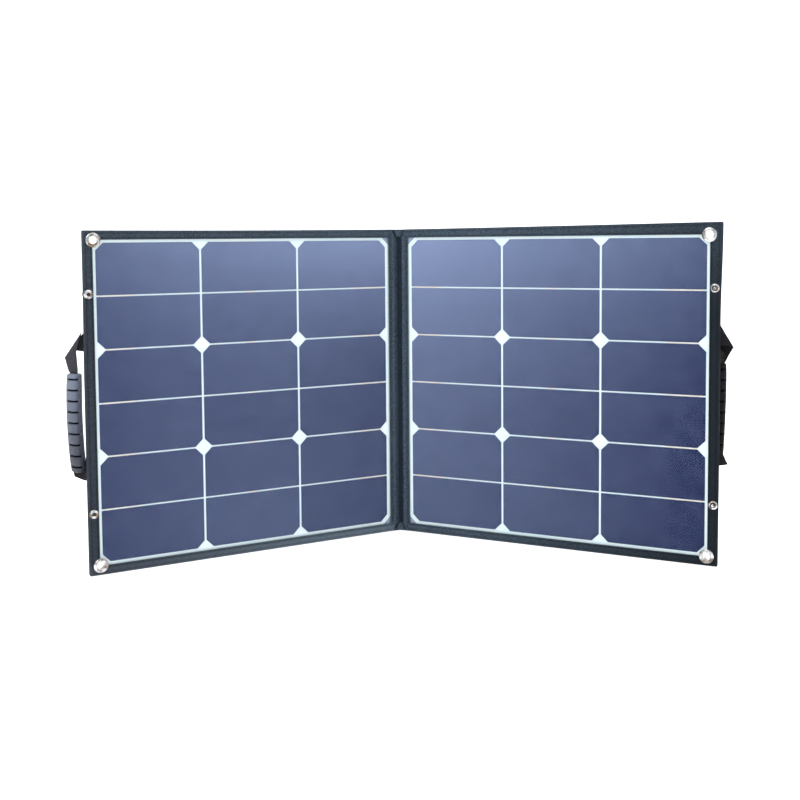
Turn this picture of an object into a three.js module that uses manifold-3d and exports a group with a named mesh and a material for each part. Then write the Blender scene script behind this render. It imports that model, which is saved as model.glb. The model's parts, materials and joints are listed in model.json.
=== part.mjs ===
// Solar suitcase kit: two square photovoltaic panels joined by a fabric spine, standing open
// like a book. Each panel is a sewn stack of fabric, clear film, cells, backsheet and board.
// Units are millimetres and +Z is up. Each panel is drawn in its own flat frame, where x runs
// away from the spine (times side: +1 right panel, -1 left panel), y runs from the front face
// to the back, and z is the height above mid-height. The fold axis is the z axis of the model.
import * as THREE from 'three';
import { mergeVertices } from 'three/addons/utils/BufferGeometryUtils.js';
import Module from 'manifold-3d';

const wasm = await Module();
wasm.setup();

// Driving dimensions
const GAP = 0.3;                // clearance between neighbouring pieces
const RIGHT = 1;
const LEFT = -1;
const TURN = 25.33 * Math.PI / 180; // each panel's turn forward from lying flat open
const AXIS_FORWARD = 2.5;       // the fold axis lies this far in front of the panel faces

const PANEL_INNER = 5;          // spine axis to the panel's sewn inner edge
const PANEL_OUTER = 411.5;       // spine axis to the panel's outer edge
const HALF_HEIGHT = 204.3;
const CORNER_RADIUS = 4;
const BINDING = 1.2;            // thickness of the tape around the edge

const PITCH = 127;              // cell to cell
const HALF_CELLS = 6;           // half cells in one column
const COLUMNS = 3;
const COLUMN_GAP = 2.6;
const ROW_GAP = 1.9;
const CELL_CUT = 9;             // leg of the cut at each full cell's corner
const GRID_INNER = 16.1;        // spine axis to the first column
const TAB_LENGTH = 36;          // joining tab between two half cells
const MIDDLE_TAB = 12;

const WINDOW_INNER = 13.2;      // opening in the front fabric
const WINDOW_OUTER = 399.2;
const WINDOW_HALF = 193;

// Layers through a panel, from the front face to the back face
const FABRIC = 1.0;
const FILM = 0.5;
const CELL_THICKNESS = 0.3;
const BACKSHEET = 0.8;
const RIBBON = 0.5;
const BOARD = 2.5;
const FILM_FRONT = FABRIC + GAP;
const CELL_FRONT = FILM_FRONT + FILM + GAP;
const SHEET_FRONT = CELL_FRONT + CELL_THICKNESS + GAP;
const RIBBON_FRONT = SHEET_FRONT + BACKSHEET + GAP;
const BOARD_FRONT = RIBBON_FRONT + RIBBON + GAP;
const COVER_FRONT = BOARD_FRONT + BOARD + GAP;
const BACK = COVER_FRONT + FABRIC;

// Metal fittings
const GROMMET = { u: 398.5, z: 192.7, hole: 5, barrel: 5.9, outer: 8.6, flange: 1.1 };
const SNAP = { u: 405.3, z: 129.8, post: 1.8, outer: 6, socketHole: 2.6, socketHeight: 2.4, studHeight: 4.3 };

// Carrying handles
const SWING = { u: PANEL_OUTER + 2, y: BACK - 0.4 };    // vertical swing axis at the outer back edge
const WEBBING = { thickness: 2, root: 1, top: 84.5, bottom: -91, width: 21.5, inGrip: 12 };
const GRIP = { length: 117, halfWidth: 9.6, halfDepth: 7.5, reach: 18, bow: 0.00108, bowCentre: -5 };
const HANDLES = {
  left: { side: LEFT, swing: 68 * Math.PI / 180, gripCentre: -23 },
  right: { side: RIGHT, swing: 104 * Math.PI / 180, gripCentre: -20 },
};

// Stand flaps behind the panels
const PATCH = 0.6;              // thickness of one hook or loop patch
const STAND = { u: 207, width: 200, height: 180, board: 4, top: -10 };
const STAND_FRONT = BACK + 3 * GAP + 2 * PATCH;
const HINGE_TAPE = { below: -7.5, above: 8, thickness: 0.9 };
const STAY = { width: 25, top: -92, bottom: -150 };
const PATCHES = { width: 50, height: 24, z: -172 };

// Zipped pocket behind the right panel, with the junction box inside
const POCKET = { u: 185, z: 92, width: 230, height: 150, depth: 28, wall: 1.2, radius: 12 };
const ZIP = { z: 140, length: 200, slot: 9, chain: 5, rise: 1.2 };
const SLIDER = { length: 13, width: 9.4, height: 4, start: 92 };
const PULL = { width: 7, length: 24, thickness: 1.2 };
const BOX = { u: 128, z: 84, width: 92, height: 56, depth: 17, wall: 2, lid: 2.4, gasket: 1, boss: 4 };
const SCREW = { shaft: 1.4, head: 2.7, headHeight: 1.2, length: 9 };
const GLAND = { bore: 3.5, thread: 6, flange: 8, insideLength: 5, outsideLength: 9, nut: 7.4 };

// Joining ribbon through the spine
const LINK = { reach: 60, z: -150, width: 20 };

const CURVE_STEPS = 3;
const RING_STEPS = 24;

// Materials
function material(color, roughness, metalness = 0) {
  return new THREE.MeshStandardMaterial({ color, roughness, metalness });
}
const wovenFabric = () => material(0x2b3138, 0.85);
const darkFabric = () => material(0x22272e, 0.9);
const clearFilm = () => {
  const film = material(0xdfe8f5, 0.25);
  film.transparent = true;
  film.opacity = 0.35;
  return film;
};
const silicon = () => material(0x2a3350, 0.35);
const whiteSheet = () => material(0xe6eff2, 0.5);
const boardPlastic = () => material(0x3a3d42, 0.7);
const nickel = () => material(0xb9b7b0, 0.3, 1);
const rubber = () => material(0x33353a, 0.75);
const blackPlastic = () => material(0x1c1e21, 0.45);

// Geometry helpers

// A flat piece drawn in x and z, lying between two depths.
function slab(outline, front, back) {
  const geometry = new THREE.ExtrudeGeometry(outline, {
    depth: back - front,
    bevelEnabled: false,
    curveSegments: CURVE_STEPS,
  });
  geometry.rotateX(Math.PI / 2);
  geometry.translate(0, back, 0);
  return geometry;
}

// A shape through a list of [x, z] points.
function outlineOf(points) {
  return new THREE.Shape(points.map(([x, z]) => new THREE.Vector2(x, z)));
}

// A round hole, as a regular polygon.
function circle(x, z, radius, steps = 12) {
  const points = [];
  for (let i = 0; i < steps; i += 1) {
    const angle = 2 * Math.PI * i / steps;
    points.push(new THREE.Vector2(x + radius * Math.cos(angle), z + radius * Math.sin(angle)));
  }
  return new THREE.Path(points);
}

// A rectangle with rounded corners, centred on x and z.
function roundedRectangle(x, z, width, height, radius) {
  const right = x + width / 2 - radius;
  const left = x - width / 2 + radius;
  const top = z + height / 2 - radius;
  const bottom = z - height / 2 + radius;
  const shape = new THREE.Shape();
  shape.absarc(right, bottom, radius, -Math.PI / 2, 0, false);
  shape.absarc(right, top, radius, 0, Math.PI / 2, false);
  shape.absarc(left, top, radius, Math.PI / 2, Math.PI, false);
  shape.absarc(left, bottom, radius, Math.PI, 1.5 * Math.PI, false);
  return shape;
}

function box(x, z, width, height, front, back) {
  const x0 = x - width / 2;
  const x1 = x + width / 2;
  const z0 = z - height / 2;
  const z1 = z + height / 2;
  return slab(outlineOf([[x0, z0], [x1, z0], [x1, z1], [x0, z1]]), front, back);
}

// A turned piece whose axis runs through the panel; its profile is a list of [radius, y].
function turned(profile, steps = RING_STEPS) {
  return new THREE.LatheGeometry(profile.map(([radius, y]) => new THREE.Vector2(radius, y)), steps);
}

// A closed skin over rings of points, each ring having the same number of points.
function loft(rings) {
  const count = rings[0].length;
  const positions = rings.flat().flatMap((point) => [point.x, point.y, point.z]);
  const faces = [];
  for (let ring = 0; ring + 1 < rings.length; ring += 1) {
    for (let i = 0; i < count; i += 1) {
      const next = (i + 1) % count;
      const a = ring * count + i;
      const b = ring * count + next;
      faces.push(a, b, b + count, a, b + count, a + count);
    }
  }
  const last = (rings.length - 1) * count;
  for (let i = 1; i + 1 < count; i += 1) {
    faces.push(0, i + 1, i);
    faces.push(last, last + i, last + i + 1);
  }
  const geometry = new THREE.BufferGeometry();
  geometry.setAttribute('position', new THREE.Float32BufferAttribute(positions, 3));
  geometry.setIndex(faces);
  return geometry;
}

function toSolid(geometry) {
  const bare = geometry.clone();
  bare.deleteAttribute('normal');
  bare.deleteAttribute('uv');
  const merged = mergeVertices(bare, 1e-4);
  return new wasm.Manifold(new wasm.Mesh({
    numProp: 3,
    vertProperties: new Float32Array(merged.attributes.position.array),
    triVerts: new Uint32Array(merged.index.array),
  }));
}

function toGeometry(solid) {
  const mesh = solid.getMesh();
  const geometry = new THREE.BufferGeometry();
  geometry.setAttribute('position', new THREE.Float32BufferAttribute(mesh.vertProperties, 3));
  geometry.setIndex(Array.from(mesh.triVerts));
  return geometry;
}

// The first geometry with the others cut away from it.
function cut(geometry, ...tools) {
  let solid = toSolid(geometry);
  for (const tool of tools) {
    solid = solid.subtract(toSolid(tool));
  }
  return toGeometry(solid);
}

function join(geometry, ...others) {
  let solid = toSolid(geometry);
  for (const other of others) {
    solid = solid.add(toSolid(other));
  }
  return toGeometry(solid);
}

function piece(name, geometry, look) {
  const mesh = new THREE.Mesh(geometry, look);
  mesh.name = name;
  return mesh;
}

// Panel layers

// The panel's outline, inset from its edge, with round corners on the outer side.
function panelOutline(side, inset) {
  const inner = side * PANEL_INNER;
  const outer = PANEL_OUTER - inset;
  const half = HALF_HEIGHT - inset;
  const radius = CORNER_RADIUS - inset / 2;
  const x = side * (outer - radius);
  const shape = new THREE.Shape();
  shape.moveTo(inner, -half);
  shape.lineTo(x, -half);
  if (side > 0) {
    shape.absarc(x, radius - half, radius, -Math.PI / 2, 0, false);
    shape.absarc(x, half - radius, radius, 0, Math.PI / 2, false);
  } else {
    shape.absarc(x, radius - half, radius, -Math.PI / 2, -Math.PI, true);
    shape.absarc(x, half - radius, radius, Math.PI, Math.PI / 2, true);
  }
  shape.lineTo(inner, half);
  return shape;
}

// A layer as large as the panel, pierced for the grommets and the snap posts.
function panelLayer(side, front, back) {
  const outline = panelOutline(side, BINDING + GAP);
  for (const up of [1, -1]) {
    outline.holes.push(circle(side * GROMMET.u, up * GROMMET.z, GROMMET.barrel + GAP));
    outline.holes.push(circle(side * SNAP.u, up * SNAP.z, SNAP.post + GAP, 8));
  }
  return slab(outline, front, back);
}

// A layer with its outer corners cut off on the slant, so that it stays clear of the grommets.
function clippedLayer(side, front, back) {
  const inner = PANEL_INNER;
  const outer = PANEL_OUTER - BINDING - GAP;
  const half = HALF_HEIGHT - BINDING - GAP;
  const slant = GROMMET.u + GROMMET.z - Math.SQRT2 * (GROMMET.barrel + 2);
  const points = [
    [inner, -half],
    [slant - half, -half],
    [outer, outer - slant],
    [outer, slant - outer],
    [slant - half, half],
    [inner, half],
  ];
  const outline = outlineOf(points.map(([u, z]) => [side * u, z]));
  for (const up of [1, -1]) {
    outline.holes.push(circle(side * SNAP.u, up * SNAP.z, SNAP.post + GAP, 8));
  }
  return slab(outline, front, back);
}

function borderFabric(side) {
  const middle = side * (WINDOW_INNER + WINDOW_OUTER) / 2;
  const width = WINDOW_OUTER - WINDOW_INNER;
  const window = box(middle, 0, width, 2 * WINDOW_HALF, -1, FABRIC + 1);
  return cut(panelLayer(side, 0, FABRIC), window);
}

// A tape around the top, the outer edge and the bottom; the spine side is left open.
function edgeBinding(side) {
  const ring = slab(panelOutline(side, 0), 0, BACK);
  const middle = side * (PANEL_INNER + PANEL_OUTER) / 2;
  const width = PANEL_OUTER - PANEL_INNER;
  const spineSide = box(middle - side * width, 0, width + 2 * BINDING, 3 * HALF_HEIGHT, -1, BACK + 1);
  return cut(ring, slab(panelOutline(side, BINDING), -1, BACK + 1), spineSide);
}

// One column of half cells. Tabs cross the gaps, so that the column is one body.
function cellString(side, column) {
  const start = GRID_INNER + column * PITCH + COLUMN_GAP / 2;
  const end = start + PITCH - COLUMN_GAP;
  const tabs = [
    [start + CELL_CUT, start + CELL_CUT + TAB_LENGTH],
    [(start + end - MIDDLE_TAB) / 2, (start + end + MIDDLE_TAB) / 2],
    [end - CELL_CUT - TAB_LENGTH, end - CELL_CUT],
  ];
  const [tabStart, tabEnd] = tabs[column];
  const pitch = PITCH / 2;
  const top = HALF_CELLS * pitch / 2;
  const down = [];
  const up = [];
  for (let row = 0; row < HALF_CELLS; row += 1) {
    const high = top - row * pitch - ROW_GAP / 2;
    const low = high - pitch + ROW_GAP;
    const cutHigh = row % 2 === 0 ? CELL_CUT : 0;
    const cutLow = CELL_CUT - cutHigh;
    if (row > 0) {
      down.push([tabEnd, high]);
      up.push([tabStart, high]);
    }
    if (cutHigh > 0) {
      down.push([end - cutHigh, high], [end, high - cutHigh], [end, low]);
      up.push([start + cutHigh, high], [start, high - cutHigh], [start, low]);
    } else {
      down.push([end, high], [end, low + cutLow], [end - cutLow, low]);
      up.push([start, high], [start, low + cutLow], [start + cutLow, low]);
    }
    if (row + 1 < HALF_CELLS) {
      down.push([tabEnd, low]);
      up.push([tabStart, low]);
    }
  }
  const points = [...down, ...up.reverse()].map(([u, z]) => [side * u, z]);
  return slab(outlineOf(points), CELL_FRONT, CELL_FRONT + CELL_THICKNESS);
}

// Metal fittings

function grommet() {
  const { hole, barrel, outer, flange } = GROMMET;
  const front = -GAP;
  const back = BACK + GAP;
  const crown = outer - 1.4;
  return turned([
    [hole, front - 0.5 * flange],
    [hole + 0.6, front - flange],
    [crown, front - flange],
    [outer, front - 0.4 * flange],
    [outer, front],
    [barrel, front],
    [barrel, back],
    [outer, back],
    [outer, back + 0.4 * flange],
    [crown, back + flange],
    [hole + 0.6, back + flange],
    [hole, back + 0.5 * flange],
    [hole, front - 0.5 * flange],
  ]);
}

// The post through the panel and the cap behind it, shared by sockets and studs.
function snapTail() {
  return [
    [SNAP.post, -GAP],
    [SNAP.post, BACK + GAP],
    [SNAP.outer, BACK + GAP],
    [SNAP.outer - 0.8, BACK + GAP + 0.9],
    [0, BACK + GAP + 1.3],
  ];
}

function snapSocket() {
  const { outer, socketHole, socketHeight } = SNAP;
  return turned([
    [0, -GAP - 0.1],
    [socketHole, -GAP - 0.1],
    [socketHole, 0.4 - socketHeight],
    [socketHole + 0.6, -socketHeight],
    [outer - 1.2, -socketHeight],
    [outer, -socketHeight / 2],
    [outer, -GAP],
    ...snapTail(),
  ], 20);
}

function snapStud() {
  const { outer, studHeight } = SNAP;
  return turned([
    [0, -studHeight],
    [1.4, 0.2 - studHeight],
    [2.1, 1 - studHeight],
    [1.5, 2.2 - studHeight],
    [1.5, -1.5],
    [outer - 1.4, -1.5],
    [outer - 0.4, -0.9],
    [outer - 0.4, -GAP],
    ...snapTail(),
  ], 20);
}

// Handles, drawn with x outward from the swing axis, y through the strap, z up

function gripMiddle(z) {
  return GRIP.reach - GRIP.bow * (z - GRIP.bowCentre) ** 2;
}

// The strap: a diagonal fold at the top, a bowed run through the grip, a short fold at the bottom.
function handleWebbing({ side, gripCentre }) {
  const { root, top, bottom, width, inGrip, thickness } = WEBBING;
  const gripTop = gripCentre + GRIP.length / 2;
  const gripBottom = gripCentre - GRIP.length / 2;
  const outerEdge = [];
  const innerEdge = [];
  const first = gripTop + 4;
  const last = gripBottom - 1;
  const steps = 8;
  for (let i = 0; i <= steps; i += 1) {
    const z = first + i * (last - first) / steps;
    outerEdge.push([gripMiddle(z) + inGrip / 2, z]);
    innerEdge.unshift([gripMiddle(z) - inGrip / 2, z]);
  }
  const points = [
    [root, top],
    [root + 3, top],
    [GRIP.reach + 0.7 * width, gripTop + 18],
    ...outerEdge,
    [root + 6, bottom],
    [root, bottom],
    [root, Math.min(bottom + width - 4, last)],
    ...innerEdge,
    [gripMiddle(gripTop) - width / 2, top - width - 2],
    [root, top - width],
  ];
  return slab(outlineOf(points.map(([x, z]) => [side * x, z])), -thickness / 2, thickness / 2);
}

function oval(x, z, halfWidth, halfDepth, steps) {
  const ring = [];
  for (let i = 0; i < steps; i += 1) {
    const angle = 2 * Math.PI * i / steps;
    ring.push(new THREE.Vector3(x + halfWidth * Math.cos(angle), halfDepth * Math.sin(angle), z));
  }
  return ring;
}

function handleGrip({ side, gripCentre }) {
  const bottom = gripCentre - GRIP.length / 2;
  const steps = 10;
  const rings = [];
  for (let i = 0; i <= steps; i += 1) {
    const z = bottom + i * GRIP.length / steps;
    const middle = side * gripMiddle(z);
    rings.push(oval(middle, z, GRIP.halfWidth, GRIP.halfDepth, 16));
  }
  const slotSide = WEBBING.inGrip / 2 + GAP;
  const slotDepth = WEBBING.thickness / 2 + GAP;
  const slots = [];
  for (let i = -1; i <= steps + 1; i += 1) {
    const z = bottom + i * GRIP.length / steps;
    const middle = side * gripMiddle(z);
    slots.push([
      new THREE.Vector3(middle - slotSide, -slotDepth, z),
      new THREE.Vector3(middle + slotSide, -slotDepth, z),
      new THREE.Vector3(middle + slotSide, slotDepth, z),
      new THREE.Vector3(middle - slotSide, slotDepth, z),
    ]);
  }
  return cut(loft(rings), loft(slots));
}

function handle(name, spec) {
  const group = new THREE.Group();
  group.position.set(spec.side * SWING.u, SWING.y, 0);
  group.rotation.z = spec.side * spec.swing;
  group.add(piece(`${name}_handle_webbing`, handleWebbing(spec), darkFabric()));
  group.add(piece(`${name}_handle_grip`, handleGrip(spec), rubber()));
  return group;
}

// Stand flaps

function stand(name, side) {
  const group = new THREE.Group();
  const x = side * STAND.u;
  const bottom = STAND.top - STAND.height;
  const middle = (STAND.top + bottom) / 2;
  const flap = roundedRectangle(x, middle, STAND.width, STAND.height, 10);
  const tapeMiddle = (HINGE_TAPE.above + HINGE_TAPE.below) / 2;
  const tapeHeight = HINGE_TAPE.above - HINGE_TAPE.below;
  const stayMiddle = (STAY.top + STAY.bottom) / 2;
  const loopFront = BACK + GAP;
  const hookFront = loopFront + PATCH + GAP;
  const { width, height, z } = PATCHES;
  group.add(
    piece(`${name}_stand_flap`, slab(flap, STAND_FRONT, STAND_FRONT + STAND.board), wovenFabric()),
    piece(
      `${name}_stand_hinge_tape`,
      box(x, tapeMiddle, STAND.width, tapeHeight, loopFront, loopFront + HINGE_TAPE.thickness),
      darkFabric(),
    ),
    piece(
      `${name}_stand_stay_strap`,
      box(x, stayMiddle, STAY.width, STAY.top - STAY.bottom, loopFront, STAND_FRONT - GAP),
      darkFabric(),
    ),
    piece(`${name}_stand_loop_patch`, box(x, z, width, height, loopFront, loopFront + PATCH), darkFabric()),
    piece(`${name}_stand_hook_patch`, box(x, z, width, height, hookFront, hookFront + PATCH), darkFabric()),
  );
  return group;
}

// Zipped pocket

const POCKET_FRONT = BACK + GAP;
const POCKET_FACE = POCKET_FRONT + POCKET.depth;

function pocketShell() {
  const { u, z, width, height, wall, radius } = POCKET;
  const outside = slab(roundedRectangle(u, z, width, height, radius), POCKET_FRONT, POCKET_FACE);
  const hollow = roundedRectangle(u, z, width - 2 * wall, height - 2 * wall, radius - wall);
  const inside = slab(hollow, POCKET_FRONT - 1, POCKET_FACE - wall);
  const slot = box(u, ZIP.z, ZIP.length, ZIP.slot, POCKET_FACE - 2 * wall, POCKET_FACE + 1);
  return cut(outside, inside, slot);
}

// The closed zip: a flat tape in the slot with a raised row of teeth along it.
function zipperChain() {
  const tape = box(
    POCKET.u, ZIP.z, ZIP.length - 2 * GAP, ZIP.slot - 2 * GAP, POCKET_FACE - POCKET.wall, POCKET_FACE,
  );
  const teeth = box(
    POCKET.u, ZIP.z, ZIP.length - 6, ZIP.chain, POCKET_FACE - GAP, POCKET_FACE + ZIP.rise,
  );
  return join(tape, teeth);
}

// The slider straddles the teeth.
function zipperSlider() {
  const front = POCKET_FACE + GAP;
  const back = front + SLIDER.height;
  const x = POCKET.u + SLIDER.start;
  const body = slab(roundedRectangle(x, ZIP.z, SLIDER.length, SLIDER.width, 3), front, back);
  const top = POCKET_FACE + ZIP.rise + GAP;
  const groove = box(x, ZIP.z, 2 * SLIDER.length, ZIP.chain + 2 * GAP, front - 1, top);
  return cut(body, groove);
}

function zipperPull() {
  const front = POCKET_FACE + GAP + SLIDER.height + GAP;
  const x = POCKET.u + SLIDER.start;
  const top = ZIP.z + PULL.thickness / 2;
  const outline = roundedRectangle(x, top - PULL.length / 2, PULL.width, PULL.length, 2);
  outline.holes.push(circle(x, top - PULL.length + 5, 1.6, 8));
  return slab(outline, front, front + PULL.thickness);
}

// Junction box in the pocket

const BOX_FRONT = BACK + GAP;
const BOX_RIM = BOX_FRONT + BOX.depth;
const LID_FRONT = BOX_RIM + BOX.gasket + 2 * GAP;
const LID_BACK = LID_FRONT + BOX.lid;

function bossPlaces() {
  const x = BOX.width / 2 - BOX.boss;
  const z = BOX.height / 2 - BOX.boss;
  return [[x, z], [-x, z], [-x, -z], [x, -z]].map(([dx, dz]) => [BOX.u + dx, BOX.z + dz]);
}

function rod(x, z, radius, front, back, steps = 16) {
  const geometry = turned([[0, front], [radius, front], [radius, back], [0, back]], steps);
  geometry.translate(x, 0, z);
  return geometry;
}

// A turned piece whose axis points down, for the cable gland in the box's lower wall.
function glandPart(profile, steps = 16) {
  const geometry = turned(profile, steps);
  geometry.rotateX(-Math.PI / 2);
  geometry.translate(BOX.u, BOX_FRONT + BOX.depth / 2, BOX.z - BOX.height / 2);
  return geometry;
}

function junctionBoxBase() {
  const { u, z, width, height, wall } = BOX;
  const outside = slab(roundedRectangle(u, z, width, height, BOX.boss), BOX_FRONT, BOX_RIM);
  const crossWide = box(u, z, width - 4 * BOX.boss, height - 2 * wall, BOX_FRONT + wall, BOX_RIM + 1);
  const crossTall = box(u, z, width - 2 * wall, height - 4 * BOX.boss, BOX_FRONT + wall, BOX_RIM + 1);
  const holes = bossPlaces().map(([x, y]) => {
    return rod(x, y, SCREW.shaft + GAP, BOX_RIM - SCREW.length, BOX_RIM + 1);
  });
  const reach = 2 * wall;
  const radius = GLAND.thread + GAP;
  const glandHole = glandPart([[0, -reach], [radius, -reach], [radius, reach], [0, reach]]);
  return cut(outside, crossWide, crossTall, glandHole, ...holes);
}

function junctionBoxGasket() {
  const inside = roundedRectangle(
    BOX.u, BOX.z, BOX.width - 4 * BOX.boss, BOX.height - 4 * BOX.boss, BOX.boss / 2,
  );
  const outline = roundedRectangle(BOX.u, BOX.z, BOX.width - 1, BOX.height - 1, BOX.boss);
  outline.holes.push(inside);
  for (const [x, z] of bossPlaces()) {
    outline.holes.push(circle(x, z, SCREW.shaft + GAP));
  }
  return slab(outline, BOX_RIM + GAP, BOX_RIM + GAP + BOX.gasket);
}

function junctionBoxLid() {
  const outline = roundedRectangle(BOX.u, BOX.z, BOX.width, BOX.height, BOX.boss);
  for (const [x, z] of bossPlaces()) {
    outline.holes.push(circle(x, z, SCREW.shaft + GAP));
  }
  return slab(outline, LID_FRONT, LID_BACK);
}

function lidScrew() {
  const { shaft, head, headHeight, length } = SCREW;
  const end = LID_BACK - length;
  const under = LID_BACK + GAP;
  return turned([
    [0, end],
    [shaft, end],
    [shaft, under],
    [head, under],
    [head - 0.5, under + headHeight],
    [0, under + headHeight],
  ], 12);
}

// The circuit board with its two bypass diodes and the two terminal blocks.
function diodeBoard() {
  const floor = BOX_FRONT + BOX.wall + GAP;
  const top = floor + 1.6;
  const plate = box(BOX.u, BOX.z, 70, 36, floor, top);
  const parts = [];
  for (const dx of [-10, 10]) {
    parts.push(box(BOX.u + dx, BOX.z + 6, 10, 6, top - 0.5, top + 4));
  }
  for (const dx of [-26, 26]) {
    parts.push(box(BOX.u + dx, BOX.z - 4, 12, 18, top - 0.5, top + 7));
  }
  return join(plate, ...parts);
}

function glandBody() {
  const { bore, thread, flange, insideLength, outsideLength } = GLAND;
  const start = -(BOX.wall + insideLength);
  return glandPart([
    [bore, start], [thread, start], [thread, GAP], [flange, GAP], [flange, 3],
    [thread, 3], [thread, outsideLength], [bore, outsideLength], [bore, start],
  ]);
}

function glandNut() {
  const { bore, thread, nut, outsideLength } = GLAND;
  const start = 3 + GAP;
  const end = outsideLength + 4;
  return glandPart([
    [thread + GAP, start], [nut, start], [nut, outsideLength], [bore + 2, end],
    [bore, end], [bore, outsideLength + GAP], [thread + GAP, outsideLength + GAP], [thread + GAP, start],
  ]);
}

// Spine

// A strip through the spine, seen from above: straight in each panel, round about the fold axis.
function spineStrip(front, back, reach, z, height) {
  const place = (side, u, depth) => {
    const y = AXIS_FORWARD + depth;
    return [side * (u * Math.cos(TURN) + y * Math.sin(TURN)), y * Math.cos(TURN) - u * Math.sin(TURN)];
  };
  const first = Math.PI / 2 - TURN;
  const last = Math.PI / 2 + TURN;
  const shape = new THREE.Shape();
  shape.moveTo(...place(RIGHT, reach, front));
  shape.lineTo(...place(RIGHT, reach, back));
  shape.absarc(0, 0, AXIS_FORWARD + back, first, last, false);
  shape.lineTo(...place(LEFT, reach, back));
  shape.lineTo(...place(LEFT, reach, front));
  shape.absarc(0, 0, AXIS_FORWARD + front, last, first, true);
  const geometry = new THREE.ExtrudeGeometry(shape, {
    depth: height,
    bevelEnabled: false,
    curveSegments: CURVE_STEPS,
  });
  geometry.translate(0, 0, z);
  return geometry;
}

// Assembly

function panel(name, side) {
  const group = new THREE.Group();
  group.position.y = AXIS_FORWARD;
  group.add(
    piece(`${name}_border_fabric`, borderFabric(side), wovenFabric()),
    piece(`${name}_front_film`, clippedLayer(side, FILM_FRONT, FILM_FRONT + FILM), clearFilm()),
    piece(`${name}_backsheet`, panelLayer(side, SHEET_FRONT, SHEET_FRONT + BACKSHEET), whiteSheet()),
    piece(`${name}_stiffener_board`, clippedLayer(side, BOARD_FRONT, BOARD_FRONT + BOARD), boardPlastic()),
    piece(`${name}_back_cover`, panelLayer(side, COVER_FRONT, BACK), wovenFabric()),
    piece(`${name}_edge_binding`, edgeBinding(side), darkFabric()),
  );
  for (let column = 0; column < COLUMNS; column += 1) {
    group.add(piece(`${name}_cell_string_${column + 1}`, cellString(side, column), silicon()));
  }
  for (const [place, up] of [['top', 1], ['bottom', -1]]) {
    const ring = piece(`${name}_grommet_${place}`, grommet(), nickel());
    ring.position.set(side * GROMMET.u, 0, up * GROMMET.z);
    const kind = side === LEFT ? 'socket' : 'stud';
    const snap = piece(`${name}_snap_${kind}_${place}`, side === LEFT ? snapSocket() : snapStud(), nickel());
    snap.position.set(side * SNAP.u, 0, up * SNAP.z);
    group.add(ring, snap);
  }
  group.add(handle(name, HANDLES[name]));
  group.add(stand(name, side));
  return group;
}

function pocket() {
  const group = new THREE.Group();
  group.position.y = AXIS_FORWARD;
  group.add(
    piece('pocket_shell', pocketShell(), wovenFabric()),
    piece('zipper_chain', zipperChain(), blackPlastic()),
    piece('zipper_slider', zipperSlider(), nickel()),
    piece('zipper_pull', zipperPull(), nickel()),
    piece('junction_box_base', junctionBoxBase(), blackPlastic()),
    piece('junction_box_gasket', junctionBoxGasket(), rubber()),
    piece('junction_box_lid', junctionBoxLid(), blackPlastic()),
    piece('diode_board', diodeBoard(), material(0x1f5a36, 0.5)),
    piece('output_gland', glandBody(), blackPlastic()),
    piece('output_gland_nut', glandNut(), blackPlastic()),
  );
  bossPlaces().forEach(([x, z], index) => {
    const screw = piece(`junction_box_screw_${index + 1}`, lidScrew(), nickel());
    screw.position.set(x, 0, z);
    group.add(screw);
  });
  return group;
}

function spine() {
  const group = new THREE.Group();
  const reach = PANEL_INNER - GAP;
  const height = 2 * (HALF_HEIGHT - BINDING - GAP);
  group.add(
    piece('spine_front_gusset', spineStrip(0, FABRIC, reach, -height / 2, height), darkFabric()),
    piece('spine_back_cover', spineStrip(COVER_FRONT, BACK, reach, -height / 2, height), darkFabric()),
    piece(
      'spine_link_ribbon',
      spineStrip(RIBBON_FRONT, RIBBON_FRONT + RIBBON, LINK.reach, LINK.z, LINK.width),
      nickel(),
    ),
  );
  return group;
}

const rightHalf = new THREE.Group();
rightHalf.rotation.z = -TURN;
rightHalf.add(panel('right', RIGHT), pocket());

const leftHalf = new THREE.Group();
leftHalf.rotation.z = TURN;
leftHalf.add(panel('left', LEFT));

const suitcase = new THREE.Group();
suitcase.name = 'solar_suitcase_kit';
suitcase.add(rightHalf, leftHalf, spine());

// The origin is the bottom centre of the whole kit.
suitcase.updateMatrixWorld(true);
const bounds = new THREE.Box3().setFromObject(suitcase, true);
const centre = bounds.getCenter(new THREE.Vector3());
suitcase.position.set(-centre.x, -centre.y, -bounds.min.z);
suitcase.updateMatrixWorld(true);

export default suitcase;
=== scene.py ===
"""Looks of the solar suitcase kit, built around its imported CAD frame.

Each panel has its own flat frame, in millimetres: u runs outward from the fold axis, y from the
panel's front face to its back, and z up from mid-height. Panel.point turns that into the row
frame in metres. Sizes and places are read from the CAD nodes with Panel.box.
"""

import json
import math

import bmesh
import bpy
import numpy as np
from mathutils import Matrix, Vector, noise


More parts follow.
